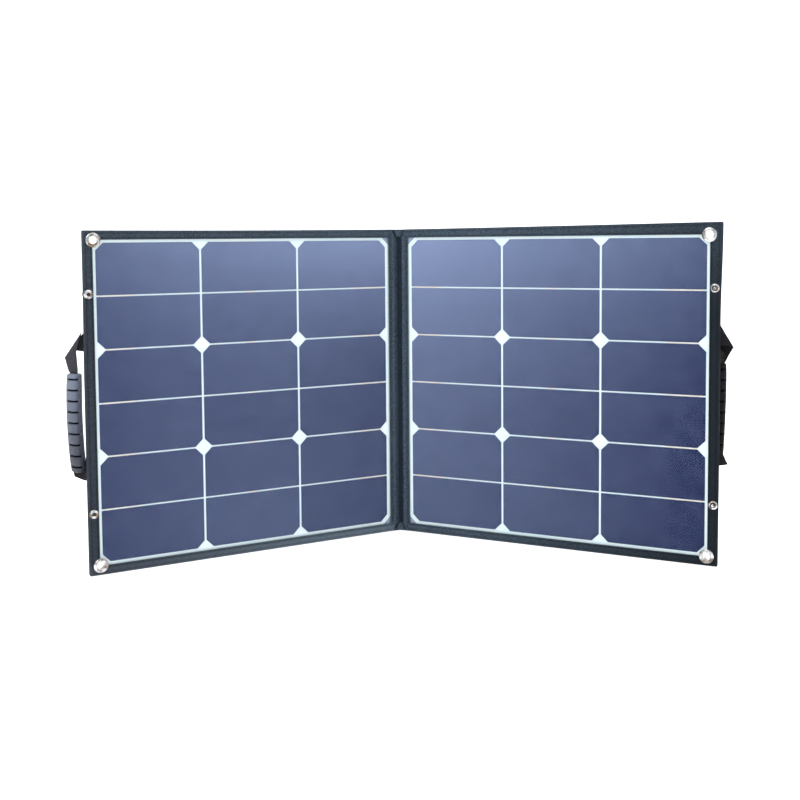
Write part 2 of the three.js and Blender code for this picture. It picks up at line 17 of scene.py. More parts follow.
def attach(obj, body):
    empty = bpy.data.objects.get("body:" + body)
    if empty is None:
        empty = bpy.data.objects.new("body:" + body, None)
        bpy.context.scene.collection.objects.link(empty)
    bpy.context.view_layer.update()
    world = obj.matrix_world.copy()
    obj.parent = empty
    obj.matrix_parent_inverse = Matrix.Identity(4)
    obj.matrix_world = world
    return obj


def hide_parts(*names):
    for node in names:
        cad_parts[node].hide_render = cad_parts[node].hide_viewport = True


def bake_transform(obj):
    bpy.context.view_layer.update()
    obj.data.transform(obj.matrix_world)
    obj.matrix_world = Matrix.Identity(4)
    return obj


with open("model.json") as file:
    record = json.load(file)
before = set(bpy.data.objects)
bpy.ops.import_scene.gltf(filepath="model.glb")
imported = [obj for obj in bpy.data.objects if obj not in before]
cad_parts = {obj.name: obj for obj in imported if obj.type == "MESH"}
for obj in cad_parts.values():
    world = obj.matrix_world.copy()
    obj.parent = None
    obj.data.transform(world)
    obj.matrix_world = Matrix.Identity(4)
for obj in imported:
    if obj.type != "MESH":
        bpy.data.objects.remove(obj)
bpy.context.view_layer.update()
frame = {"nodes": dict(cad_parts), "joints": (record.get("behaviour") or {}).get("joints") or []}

MM = 0.001
JOINTS = {joint["name"]: joint for joint in frame["joints"]}
UP = Vector((0, 0, 1))


# Panel frames

class Panel:
    """One panel's flat frame."""

    def __init__(self, name):
        self.name = name
        self.body = name + "_panel"
        self.side = 1 if name == "right" else -1
        self.along = Vector(JOINTS[name + "_stand_hinge"]["axis"]).normalized()
        self.back = UP.cross(self.along)
        self.origin = Vector(JOINTS["fold"]["pos_m"])
        self.front = 0.0
        self.front = self.box("border_fabric")[0][1]

    def point(self, u, y, z):
        offset = self.along * (self.side * u) + self.back * (y + self.front) + UP * z
        return self.origin + offset * MM

    def local(self, place):
        """A point of the row frame, in metres, as this panel's u, y and z."""
        d = (Vector(place) - self.origin) / MM
        return d.dot(self.along) * self.side, d.dot(self.back) - self.front, d.dot(UP)

    def box(self, node, own=True):
        """Lowest and highest u, y, z of a CAD node."""
        name = f"{self.name}_{node}" if own else node
        places = [self.local(v.co) for v in frame["nodes"][name].data.vertices]
        return [min(c) for c in zip(*places)], [max(c) for c in zip(*places)]


LEFT = Panel("left")
RIGHT = Panel("right")
PANELS = (LEFT, RIGHT)

# Sizes read from the frame (both panels share them)
COVER_LOW, COVER_HIGH = RIGHT.box("edge_binding")
INNER = COVER_LOW[0]            # spine side of the sewn edge
OUTER = COVER_HIGH[0]
HALF = COVER_HIGH[2]
BACK = COVER_HIGH[1]            # depth of the back face
FILM_FRONT = RIGHT.box("front_film")[0][1]
CELL_LOW, CELL_HIGH = RIGHT.box("cell_string_1")
GRID_INNER = CELL_LOW[0]
GRID_OUTER = RIGHT.box("cell_string_3")[1][0]
GRID_HALF = CELL_HIGH[2]
COLUMN_PITCH = (RIGHT.box("cell_string_3")[0][0] - GRID_INNER) / 2
CELL_WIDTH = CELL_HIGH[0] - CELL_LOW[0]
ROWS = 6
ROW_PITCH = 63.5
ROW_GAP = ROWS * ROW_PITCH - 2 * GRID_HALF
CELL_CUT = 9.0          # cut corner of a wafer
SQUARE_CUT = 0.05       # corner of a half cell where its wafer was cut in two
WINDOW_HALF = GRID_HALF + 3.45
WINDOW = (GRID_INNER - 4.2, GRID_OUTER + 3.4, -WINDOW_HALF, WINDOW_HALF)    # u and z, low and high
COVER = (INNER, OUTER, -HALF, HALF)
CORNER = 1.8
FABRIC = 0.9


def middle(low, high):
    return [(a + b) / 2 for a, b in zip(low, high)]


GROMMET_PLACE = middle(*RIGHT.box("grommet_top"))
SNAP_PLACE = middle(*RIGHT.box("snap_stud_top"))
EYELET_HOLE = 5.7       # radius of the hole in the cloth


# Mesh building

class Mesh:
    """Points in a panel's own millimetres, with faces and each face's material number."""

    def __init__(self):
        self.points = []
        self.faces = []
        self.marks = []

    def add(self, points, faces, mark=0):
        start = len(self.points)
        self.points.extend(points)
        self.faces.extend(tuple(i + start for i in face) for face in faces)
        self.marks.extend(mark if isinstance(mark, list) else [mark] * len(faces))

    def make(self, name, panel, looks, sharp=38):
        """The mesh as an object in the row frame, with its faces turned outward."""
        data = bpy.data.meshes.new(name)
        data.from_pydata([panel.point(*p) for p in self.points], [], self.faces)
        for look in looks:
            data.materials.append(look)
        data.polygons.foreach_set("material_index", self.marks)
        shape = bmesh.new()
        shape.from_mesh(data)
        bmesh.ops.recalc_face_normals(shape, faces=shape.faces)
        shape.to_mesh(data)
        shape.free()
        data.polygons.foreach_set("use_smooth", [True] * len(data.polygons))
        data.set_sharp_from_angle(angle=math.radians(sharp))
        piece = bpy.data.objects.new(name, data)
        bpy.context.scene.collection.objects.link(piece)
        return piece


def settle(piece, body, slot, *nodes):
    """The piece rides on a body and stands for CAD nodes, which it hides; slot is not used."""
    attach(piece, body)
    if nodes:
        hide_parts(*nodes)
    return piece


def skin(loops, caps=True, ring=False):
    """Faces between loops with equal numbers of points; ring joins the last loop to the first."""
    count = len(loops[0])
    points = [p for loop in loops for p in loop]
    faces = []
    for k in range(len(loops) if ring else len(loops) - 1):
        a = k * count
        b = (k + 1) % len(loops) * count
        for i in range(count):
            j = (i + 1) % count
            faces.append((a + i, a + j, b + j, b + i))
    if caps and not ring:
        last = (len(loops) - 1) * count
        faces.append(tuple(range(count)))
        faces.append(tuple(range(last, last + count)))
    return points, faces


def rectangle(u0, u1, z0, z1, radius, y, side_steps=1, corner_steps=6):
    """A loop of points around a rectangle with round corners, at depth y."""
    loop = []
    corners = [
        (u1 - radius, z0 + radius, -90), (u1 - radius, z1 - radius, 0),
        (u0 + radius, z1 - radius, 90), (u0 + radius, z0 + radius, 180),
    ]
    for index, (cu, cz, start) in enumerate(corners):
        for step in range(corner_steps + 1):
            angle = math.radians(start + 90 * step / corner_steps)
            loop.append((cu + radius * math.cos(angle), y, cz + radius * math.sin(angle)))
        nu, nz, turn = corners[(index + 1) % 4]
        angle = math.radians(turn)
        end = (nu + radius * math.cos(angle), y, nz + radius * math.sin(angle))
        begin = loop[-1]
        for step in range(1, side_steps):
            share = step / side_steps
            loop.append(tuple(a + (b - a) * share for a, b in zip(begin, end)))
    return loop


def area_of(low, high):
    """Lowest and highest u, then z, of a box."""
    return low[0], high[0], low[2], high[2]


def inset_by(area, distance):
    u0, u1, z0, z1 = area
    return u0 + distance, u1 - distance, z0 + distance, z1 - distance


def round_edge(front, back, radius, steps=3):
    """Insets and depths from the front face, over a rounded edge, to the back face."""
    rows = []
    for step in range(steps + 1):
        angle = math.pi / 2 * step / steps
        rows.append((radius * (1 - math.sin(angle)), front + radius * (1 - math.cos(angle))))
    for step in range(steps + 1):
        angle = math.pi / 2 * step / steps
        rows.append((radius * (1 - math.cos(angle)), back - radius * (1 - math.sin(angle))))
    return rows


def plate(u0, u1, z0, z1, front, back, corner=1.0, bevel=0.3, steps=3):
    """A flat rectangular plate with round corners and rounded edges."""
    loops = [
        rectangle(*inset_by((u0, u1, z0, z1), inset), max(corner - inset, 0.05), y, 1, 4)
        for inset, y in round_edge(front, back, bevel, steps)
    ]
    return skin(loops)


def circle(steps):
    """Angles evenly spread round a full turn."""
    return [2 * math.pi * step / steps for step in range(steps)]


def turned(place, profile, steps=48, ring=False):
    """A piece turned about a line through the panel; profile is (radius, depth)."""
    u, _, z = place
    loops = [
        [(u + radius * math.cos(angle), y, z + radius * math.sin(angle)) for angle in circle(steps)]
        for radius, y in profile
    ]
    return skin(loops, caps=not ring, ring=ring)


def smooth_profile(points, rounds=2, closed=False):
    """Corner cutting: each round replaces a corner by two points nearer to each other."""
    for _ in range(rounds):
        made = []
        pairs = list(zip(points, points[1:] + points[:1]))
        if not closed:
            pairs = pairs[:-1]
            made.append(points[0])
        for a, b in pairs:
            made.append(tuple(0.75 * p + 0.25 * q for p, q in zip(a, b)))
            made.append(tuple(0.25 * p + 0.75 * q for p, q in zip(a, b)))
        if not closed:
            made.append(points[-1])
        points = made
    return points


def ribbon(edge_a, edge_b, thickness):
    """A flat strap between two edges, given as lists of matching points."""
    across = 6
    left = [Vector(p) for p in edge_a]
    right = [Vector(p) for p in edge_b]
    loops = []
    for k, (a, b) in enumerate(zip(left, right)):
        before = max(k - 1, 0)
        after = min(k + 1, len(left) - 1)
        run = (left[after] + right[after]) - (left[before] + right[before])
        normal = (b - a).cross(run).normalized() * (thickness / 2)
        row = [a.lerp(b, i / across) for i in range(across + 1)]
        pinch = [0.35] + [1.0] * (across - 1) + [0.35]
        top = [p + normal * s for p, s in zip(row, pinch)]
        under = [p - normal * s for p, s in zip(row, pinch)]
        loops.append([tuple(p) for p in top + under[::-1]])
    return skin(loops)


THREAD_SIDES = 5
THREAD_POINTS = 4 * THREAD_SIDES


def stitch(mesh, start, end, rise, width=0.75, mark=0):
    """One thread between two points, standing a little proud of the cloth along rise."""
    a, b, lift = Vector(start), Vector(end), Vector(rise).normalized()
    side = (b - a).cross(lift).normalized()
    loops = []
    for share, size, height in ((0, 0.25, -0.1), (0.2, 0.9, 0.12), (0.8, 0.9, 0.12), (1, 0.25, -0.1)):
        centre = a.lerp(b, share) + lift * height
        radius = width / 2 * size
        loop = []
        for angle in circle(THREAD_SIDES):
            loop.append(tuple(centre + side * radius * math.cos(angle) + lift * radius * math.sin(angle)))
        loops.append(loop)
    mesh.add(*skin(loops), mark)


def stitch_line(mesh, start, end, rise, pitch=3.2, length=1.9, width=0.75, mark=0):
    """A row of threads from start to end."""
    a, b = Vector(start), Vector(end)
    count = max(1, int((b - a).length / pitch))
    run = (b - a).normalized()
    for step in range(count):
        here = a.lerp(b, (step + 0.5) / count)
        stitch(mesh, here - run * length / 2, here + run * length / 2, rise, width, mark)


def stitch_frame(mesh, u0, u1, z0, z1, y, rise=(0, -1, 0), **how):
    """Threads along the four sides of a rectangle at depth y."""
    corners = [(u0, y, z0), (u1, y, z0), (u1, y, z1), (u0, y, z1)]
    for a, b in zip(corners, corners[1:] + corners[:1]):
        stitch_line(mesh, a, b, rise, **how)


def drill_eyelets(piece, panel):
    """Round holes through a piece for the panel's two eyelets."""
    u, _, z = GROMMET_PLACE
    cutter = Mesh()
    for up in (1, -1):
        cutter.add(*turned((u, 0, up * z), [(EYELET_HOLE, -20), (EYELET_HOLE, 60)], 40))
    cut_with(piece, cutter.make("drill_tool", panel, []))


def cut_with(piece, tool):
    """Cuts the tool's shape out of a piece and removes the tool."""
    cut = piece.modifiers.new("cut", "BOOLEAN")
    cut.operation = "DIFFERENCE"
    cut.solver = "EXACT"
    cut.object = tool
    bpy.context.view_layer.update()
    depsgraph = bpy.context.evaluated_depsgraph_get()
    shaped = bpy.data.meshes.new_from_object(piece.evaluated_get(depsgraph))
    piece.modifiers.clear()
    old = piece.data
    name = old.name
    piece.data = shaped
    bpy.data.meshes.remove(old)
    shaped.name = name
    bpy.data.objects.remove(tool)
    shaped.polygons.foreach_set("use_smooth", [True] * len(shaped.polygons))
    shaped.set_sharp_from_angle(angle=math.radians(38))


def soft_step(value, low, high):
    """0 below low, 1 above high, smooth between them."""
    share = max(0.0, min(1.0, (value - low) / (high - low)))
    return share * share * (3 - 2 * share)


def ripple(u, z, size=1.0, seed=0.0):
    """A soft unevenness of cloth, from -size to size."""
    return size * noise.noise(Vector((u / 38 + seed, z / 38, seed)))


# Materials

class Value:
    """A number or colour worked out by a look's nodes; arithmetic on it adds nodes."""

    def __init__(self, look, socket):
        self.look = look
        self.socket = socket

    def __add__(self, other):
        return self.look.math("ADD", self, other)

    def __sub__(self, other):
        return self.look.math("SUBTRACT", self, other)

    def __rsub__(self, other):
        return self.look.math("SUBTRACT", other, self)

    def __mul__(self, other):
        return self.look.math("MULTIPLY", self, other)

    def __truediv__(self, other):
        return self.look.math("DIVIDE", self, other)

    def __pow__(self, other):
        return self.look.math("POWER", self, other)

    def __abs__(self):
        return self.look.math("ABSOLUTE", self)


class Look:
    """A material with short calls for its nodes."""

    def __init__(self, name, roughness=0.5, metallic=0.0, **sockets):
        self.material = bpy.data.materials.new(name)
        self.material.use_nodes = True
        self.tree = self.material.node_tree
        self.shader = self.tree.nodes["Principled BSDF"]
        sockets.update(Roughness=roughness, Metallic=metallic)
        for socket, value in sockets.items():
            self.shader.inputs[socket.replace("_", " ")].default_value = value

    def feed(self, value, socket):
        if isinstance(value, Value):
            self.tree.links.new(value.socket, socket)
        else:
            socket.default_value = value

    def node(self, kind, inputs, output=0, **settings):
        """The output of a new node; inputs gives a value for the name or number of each input."""
        made = self.tree.nodes.new(kind)
        for key, value in settings.items():
            setattr(made, key, value)
        for key, value in inputs.items():
            self.feed(value, made.inputs[key])
        return Value(self, made.outputs[output])

    def math(self, operation, *values):
        return self.node("ShaderNodeMath", dict(enumerate(values)), operation=operation)

    def ramp(self, value, low, high, to_low=0.0, to_high=1.0):
        return self.node("ShaderNodeMapRange", dict(enumerate((value, low, high, to_low, to_high))))

    def mix(self, share, first, second):
        return self.node("ShaderNodeMix", {"Factor": share, 6: first, 7: second}, 2, data_type="RGBA")

    def cloud(self, place, size_mm, detail=3.0):
        inputs = {"Vector": place, "Scale": 1 / (size_mm * MM), "Detail": detail, "Roughness": 0.55}
        return self.node("ShaderNodeTexNoise", inputs)

    def patches(self, place, size_mm, detail, *limits):
        """A cloud, spread over the limits of a ramp."""
        return self.ramp(self.cloud(place, size_mm, detail), *limits)

    def bump(self, height, distance_mm, strength=1.0):
        inputs = {"Strength": strength, "Distance": distance_mm * MM, "Height": height}
        self.feed(self.node("ShaderNodeBump", inputs), self.shader.inputs["Normal"])

    def colour(self, value):
        self.feed(value, self.shader.inputs["Base Color"])

    def roughness(self, value):
        self.feed(value, self.shader.inputs["Roughness"])

    def place(self, panel=None):
        """Coordinates of the row frame, turned into the panel's own directions, in metres."""
        coordinates = self.node("ShaderNodeTexCoord", {}, "Object")
        if panel is None:
            return coordinates
        shifted = self.node("ShaderNodeVectorMath", {0: coordinates, 1: panel.origin}, operation="SUBTRACT")
        turn = (0, 0, -math.atan2(panel.along.y, panel.along.x))
        return self.node("ShaderNodeMapping", {"Vector": shifted, "Rotation": turn}, vector_type="POINT")

    def split(self, place):
        return [self.node("ShaderNodeSeparateXYZ", {0: place}, axis) for axis in range(3)]

    def outward(self, place, panel):
        """Distance from the fold axis along the panel, and height, in metres."""
        x, _, z = self.split(place)
        return x * float(panel.side), z


def rgb(red, green, blue):
    """A colour given as display values from 0 to 255, as linear RGBA."""
    def linear(value):
        value /= 255
        return value / 12.92 if value <= 0.04045 else ((value + 0.055) / 1.055) ** 2.4
    return (linear(red), linear(green), linear(blue), 1)


def dimmed(colour, share):
    """A linear colour with less light."""
    return tuple(share * c for c in colour[:3]) + (1,)


def weave(look, place, pitch_mm):
    """Height of a plain weave and which of its yarns is on top."""
    x, y, z = look.split(place)
    wave = math.pi / (pitch_mm * MM)
    first = look.math("SINE", (x + y) * wave)
    second = look.math("SINE", (z + y) * wave)
    parity = look.ramp(first * second, -0.25, 0.25)
    return parity * abs(first) + (1.0 - parity) * abs(second), parity


TUCK = 10.0                 # height of the V-shaped tuck that closes each end of the spine
TUCK_OUT = 7.0              # distance of its creases from the fold axis, at the spine's end
TUCK_IN = 3.0               # and at its inner end
SPINE_HALF = HALF - 0.2     # half of the spine's height
CLOTH_ROUGHNESS = 0.84


def cloth(name, panel, dark, light, pitch_mm=0.8, depth_mm=0.22, outside=None, foot=0.0, shading=None):
    """Woven cloth with uneven dye, painted shade towards the outer side and painted light above the floor.

    outside is how much painted shade darkens it at the panel's outer side, and into which colour; foot
    is how much painted light makes it paler just above the floor; shading may change its colour once more.
    """
    look = Look(
        name, CLOTH_ROUGHNESS, Sheen_Weight=0.05, Sheen_Roughness=0.5, Sheen_Tint=rgb(150, 165, 180),
        Specular_IOR_Level=0.18,
    )
    place = look.place(panel)
    height, parity = weave(look, place, pitch_mm)
    shade = look.mix(look.ramp(height, 0.1, 0.9), dark, light)
    shade = look.mix(parity * 0.22, shade, light)
    shade = look.mix(look.patches(place, 2.8, 2, 0.36, 0.66, 0, 0.7), shade, dimmed(dark, 0.42))
    shade = look.mix(look.patches(place, 50, 4, 0.35, 0.75, 0, 0.3), shade, light)
    if panel is not None:
        u, z = look.outward(place, panel)
        # painted light: paler just above the floor
        painted_light_share = look.ramp(z, (6 - HALF) * MM, (16 - HALF) * MM, foot, 0.0)
        shade = look.mix(painted_light_share, shade, rgb(128, 142, 154))
        # painted shade: darker towards the panel's outer side, less so towards the top
        if outside:
            share = look.ramp(u, 0.1, OUTER * MM, 0.0, outside[0]) * look.ramp(z, 0.1, HALF * MM, 1.0, 0.55)
            shade = look.mix(share, shade, outside[1])
    if shading:
        shade = shading(look, place, shade)
    look.colour(shade)
    look.roughness(look.patches(place, 9, 3, 0.3, 0.7, CLOTH_ROUGHNESS - 0.06, CLOTH_ROUGHNESS + 0.08))
    look.bump(height + look.cloud(place, 0.5, 2) * 0.35, depth_mm)
    return look.material


def spine_shade(look, place, shade):
    """Painted shade in the valley between the two tucks, and in the creases of the tucks."""
    x, _, z = look.split(place)
    across = abs(x)
    from_end = SPINE_HALF * MM - abs(z)
    valley = look.ramp(across, 0.0028, 0.005, 0.85, 0.0)
    valley *= look.ramp(from_end, (TUCK - 0.6) * MM, (TUCK + 0.6) * MM)
    crease_at = look.ramp(from_end, 0.0, TUCK * MM, TUCK_OUT * MM, TUCK_IN * MM)
    crease = look.ramp(abs(across - crease_at), 0.0006, 0.0017, 0.9, 0.0)
    crease *= look.ramp(from_end, TUCK * MM, (TUCK + 1) * MM, 1.0, 0.0)
    return look.mix(look.math("MAXIMUM", valley, crease), shade, rgb(8, 22, 36))


def strap_cloth(name, panel, dark, light):
    """Flat webbing: ribs along its length crossed by a finer weave."""
    look = Look(name, 0.6, Sheen_Weight=0.02, Sheen_Roughness=0.4, Specular_IOR_Level=0.12)
    place = look.place(panel)
    height, parity = weave(look, place, 1.5)
    fine, _ = weave(look, place, 0.5)
    relief = height + fine * 0.35
    tone = look.mix(look.ramp(relief, 0.2, 1.3), dark, light)
    look.colour(look.mix(parity * 0.3, tone, light))
    look.bump(relief, 0.3)
    return look.material


SILICON_DARK = (0.003, 0.010, 0.057, 1)
SILICON_UNDER_PAINTED_REFLECTION = (0.254, 0.326, 0.512, 1)

# How much the film's painted reflection makes the cells paler: all over, at the spine, at the top
# (and the power of the height that this follows), at the top of the spine, midway to the outer side,
# and at the spine's foot
PAINTED_REFLECTION = {
    "left": (0.093, 0.0, 0.28, 3.6, 0.476, 0.3, 0.1),
    "right": (0.0, 0.33, 0.275, 2.7, 0.34, 0.0, 0.0),
}


def silicon(name, panel):
    """Dark blue cells behind satin film, each half cell a little different, paler under the film's painted
    reflection.
    """
    look = Look(name, 0.36, Coat_Weight=0.045, Coat_Roughness=0.2, Specular_IOR_Level=0.085)
    place = look.place(panel)
    u, z = look.outward(place, panel)
    column = look.math("FLOOR", (u - GRID_INNER * MM) / (COLUMN_PITCH * MM))
    row = look.math("FLOOR", (z + (GRID_HALF + 1) * MM) / (ROW_PITCH * MM))
    tone = look.math("FRACT", look.math("SINE", (column + row * 7.31) * 12.9898) * 43.7)
    height = look.ramp(z, -GRID_HALF * MM, GRID_HALF * MM)
    near = look.ramp(u, GRID_INNER * MM, GRID_OUTER * MM, 1.0, 0.0)
    even, spine_side, top, power, spine_top, midway, spine_foot = PAINTED_REFLECTION[panel.name]
    lift = height ** power
    # painted reflection of the film; each half cell's own tone and uneven patches are added to it
    painted_reflection_and_tone = near * spine_side + lift * top + even + near * lift * spine_top
    painted_reflection_and_tone += near * (1.0 - near) * midway + near * (1.0 - height) ** 2.0 * spine_foot
    painted_reflection_and_tone += look.ramp(tone, 0.0, 1.0, -0.035, 0.035)
    painted_reflection_and_tone += look.patches(place, 22, 4, 0.3, 0.75, -0.03, 0.04)
    base = look.mix(painted_reflection_and_tone, SILICON_DARK, SILICON_UNDER_PAINTED_REFLECTION)
    violet = look.mix(painted_reflection_and_tone, rgb(48, 36, 70), rgb(146, 138, 178))
    look.colour(look.mix(look.patches(place, 7, 3, 0.35, 0.7, 0, 0.16), base, violet))
    lines = abs(look.math("SINE", z * (math.pi / MM)))
    look.bump(lines * 0.3 + look.cloud(place, 3, 2), 0.03)
    look.roughness(look.patches(place, 15, 3, 0.3, 0.7, 0.28, 0.38))
    return look.material


def white_sheet(name, panel):
    """White backsheet under the film, slightly icy, greyer outside its cut corners at the spine."""
    look = Look(name, 0.42, Coat_Weight=0.5, Coat_Roughness=0.3)
    place = look.place(panel)
    u, z = look.outward(place, panel)
    from_corner = u - WINDOW[0] * MM + (WINDOW_HALF * MM - abs(z))
    corner = look.math("LESS_THAN", from_corner, 8.5 * MM)
    tone = look.mix(look.patches(place, 30, 3, 0.3, 0.7), rgb(228, 252, 255), rgb(244, 255, 255))
    look.colour(look.mix(corner, tone, rgb(150, 160, 184)))
    look.bump(look.cloud(place, 4, 2), 0.03)
    return look.material


def clear_film(name, panel):
    """Satin film over the cells: nearly clear, with a faint milky haze."""
    look = Look(name, 0.24, Alpha=0.05, Specular_IOR_Level=0.5)
    place = look.place(panel)
    look.colour(look.mix(look.cloud(place, 80, 2), rgb(70, 84, 120), rgb(92, 104, 140)))
    look.bump(look.cloud(place, 2.2, 2), 0.04)
    return look.material


def tinned(name, panel):
    """Cream coloured tinned copper tab."""
    look = Look(name, 0.4, metallic=0.1)
    place = look.place(panel)
    look.colour(look.mix(look.patches(place, 3, 3, 0.3, 0.7), rgb(232, 220, 200), rgb(252, 248, 240)))
    look.bump(look.cloud(place, 1.0, 2), 0.03)
    return look.material


def plated_metal(name, tone, shade, roughness=0.2):
    """Plated metal with fine turning marks and dull spots."""
    look = Look(name, roughness, metallic=1.0)
    place = look.place()
    look.colour(look.mix(look.patches(place, 7, 2, 0.42, 0.62), tone, shade))
    look.roughness(look.patches(place, 2.5, 4, 0.3, 0.75, roughness - 0.06, roughness + 0.2))
    look.bump(look.cloud(place, 0.8, 3), 0.02)
    return look.material


def moulded(name, tone, worn, roughness=0.5, grain_mm=0.6, depth_mm=0.05, **sockets):
    """Moulded plastic or rubber with a fine grain and slightly worn patches."""
    look = Look(name, roughness, **sockets)
    place = look.place()
    look.colour(look.mix(look.patches(place, 18, 4, 0.4, 0.8, 0, 0.55), tone, worn))
    look.roughness(look.patches(place, 6, 3, 0.3, 0.7, roughness - 0.07, roughness + 0.09))
    look.bump(look.cloud(place, grain_mm, 3), depth_mm)
    return look.material


def grip_rubber(name, panel, shaded_low_tone, lit_high_tone):
    """Moulded rubber with painted light at the grip's upper end and painted shade at its lower end, a fine
    grain and worn patches.
    """
    look = Look(name, 0.45, Specular_IOR_Level=0.3 if panel.side < 0 else 0.12)
    place = look.place(panel)
    _, z = look.outward(place, panel)
    # painted light and shade: paler towards the upper end, darker towards the lower end
    tone = look.mix(look.ramp(z, -0.085, 0.035), rgb(*shaded_low_tone), rgb(*lit_high_tone))
    worn = look.mix(0.12, tone, rgb(*[1.6 * c for c in lit_high_tone]))
    look.colour(look.mix(look.patches(place, 18, 4, 0.4, 0.8, 0, 0.55), tone, worn))
    look.roughness(look.patches(place, 6, 3, 0.3, 0.7, 0.38, 0.52))
    look.bump(look.cloud(place, 0.5, 3), 0.04)
    return look.material


def pile(name, tone, tip):
    """Hook or loop pile: a dense field of tiny tufts."""
    look = Look(name, 0.95, Sheen_Weight=0.5)
    tufts = look.node("ShaderNodeTexVoronoi", {"Vector": look.place(), "Scale": 1 / (0.9 * MM)})
    look.colour(look.mix(look.ramp(tufts, 0.0, 0.7), tip, tone))
    look.bump(tufts, 0.35, 0.8)
    return look.material


SLATE = (rgb(42, 55, 66), rgb(80, 94, 108))
CLOTH = {}
EDGE = {}
STRAP = {}
STRAP_PAINTED_SHADE = {}
RUBBER = {}
SILICON = {}
SHEET = {}
FILM = {}
TINNED = {}
# Per panel: the cloth's painted outer shade and its colour, its painted light above the floor, the strap's
# tone and the grip's low and high tones
for _panel, _painted_outer_shade, _painted_floor_light, _strap, _grip_light_and_shade in (
    (LEFT, (0.66, rgb(36, 34, 40)), 0.34, 58, ((40, 41, 49), (106, 113, 130))),
    (RIGHT, (1.0, dimmed(SLATE[0], 0.3)), 0.0, 30, ((6, 6, 8), (15, 15, 19))),
):
    _name = _panel.name
    CLOTH[_name] = cloth(_name + "_cloth", _panel, *SLATE, outside=_painted_outer_shade, foot=_painted_floor_light)
    EDGE[_name] = cloth(_name + "_edge_cloth", _panel, rgb(26, 36, 48), rgb(48, 60, 74), 0.6, 0.16)
    # the strap's tone is painted for light: paler where lit on the left panel, darker in shade on the right
    _tone = (0.96 * _strap, 0.94 * _strap, 1.08 * _strap)
    STRAP[_name] = strap_cloth(_name + "_strap", _panel, rgb(*[0.6 * c for c in _tone]), rgb(*_tone))
    # the webbing again in painted shade, for the layers that face away from the light
    STRAP_PAINTED_SHADE[_name] = strap_cloth(_name + "_strap_shade", _panel, rgb(3, 3, 4), rgb(10, 10, 12))
    # the grip's tones are painted for light: pale where lit on the left panel, near black in shade on the
    # right
    RUBBER[_name] = grip_rubber(_name + "_grip_rubber", _panel, *_grip_light_and_shade)
    SILICON[_name] = silicon(_name + "_silicon", _panel)
    SHEET[_name] = white_sheet(_name + "_white_sheet", _panel)
    FILM[_name] = clear_film(_name + "_clear_film", _panel)
    TINNED[_name] = tinned(_name + "_tinned_tab", _panel)
SPINE_CLOTH = cloth("spine_cloth", RIGHT, *SLATE, shading=spine_shade)
THREAD = cloth("thread", None, rgb(6, 9, 14), rgb(12, 18, 26), 0.4, 0.06)
# near-black rubber for the grooves' floors: painted shade in the grooves
GROOVE_PAINTED_SHADE = moulded("grip_groove_rubber", rgb(5, 5, 7), rgb(12, 12, 14), 0.8, Specular_IOR_Level=0.1)
NICKEL = plated_metal("nickel", rgb(214, 214, 216), rgb(120, 104, 88))
SOFT_RUBBER = moulded("seal_rubber", rgb(28, 28, 30), rgb(44, 44, 46), 0.7)
# also the painted shade in the snaps' recesses
BLACK_PLASTIC_AND_PAINTED_SHADE = moulded("black_plastic", rgb(26, 27, 29), rgb(44, 45, 48), 0.42)
BOARD_PLASTIC = moulded("board_plastic", rgb(46, 47, 50), rgb(66, 66, 70), 0.6)
CIRCUIT = moulded("circuit_board_green", rgb(20, 74, 42), rgb(34, 96, 58), 0.35, 0.8, 0.02)
COPPER = plated_metal("tinned_ribbon", rgb(214, 204, 186), rgb(186, 170, 146), 0.34)
PILE = pile("hook_and_loop_pile", rgb(18, 19, 21), rgb(48, 50, 54))


# Front of a panel

def slack(panel, u, y, z, inset=0.0):
    """A point of the cover, moved where its top and outer edges aren't quite straight.

    inset is the point's distance from the edge: the seam further in stays where it is.
    """
    share = max(0.0, u / OUTER)
    top = soft_step(z, HALF - 40, HALF - 6)
    if panel.side > 0:      # its top rises towards the corner, and its outer edge leans out there
        up = 3.7 * share ** 1.3
        out = 2.2 * soft_step(z, 90, HALF) - 0.5 * soft_step(-z, 60, HALF)
    else:                   # its top sags a little, and its outer edge leans in
        up = -0.6 * math.sin(math.pi * share)
        out = -0.9 * soft_step(z, 20, 150)
    keep = 1 - soft_step(inset, 5.2, 8.0)
    outer = soft_step(u, OUTER - 40, OUTER - 6)
    return u + keep * outer * out, y, z + keep * top * up


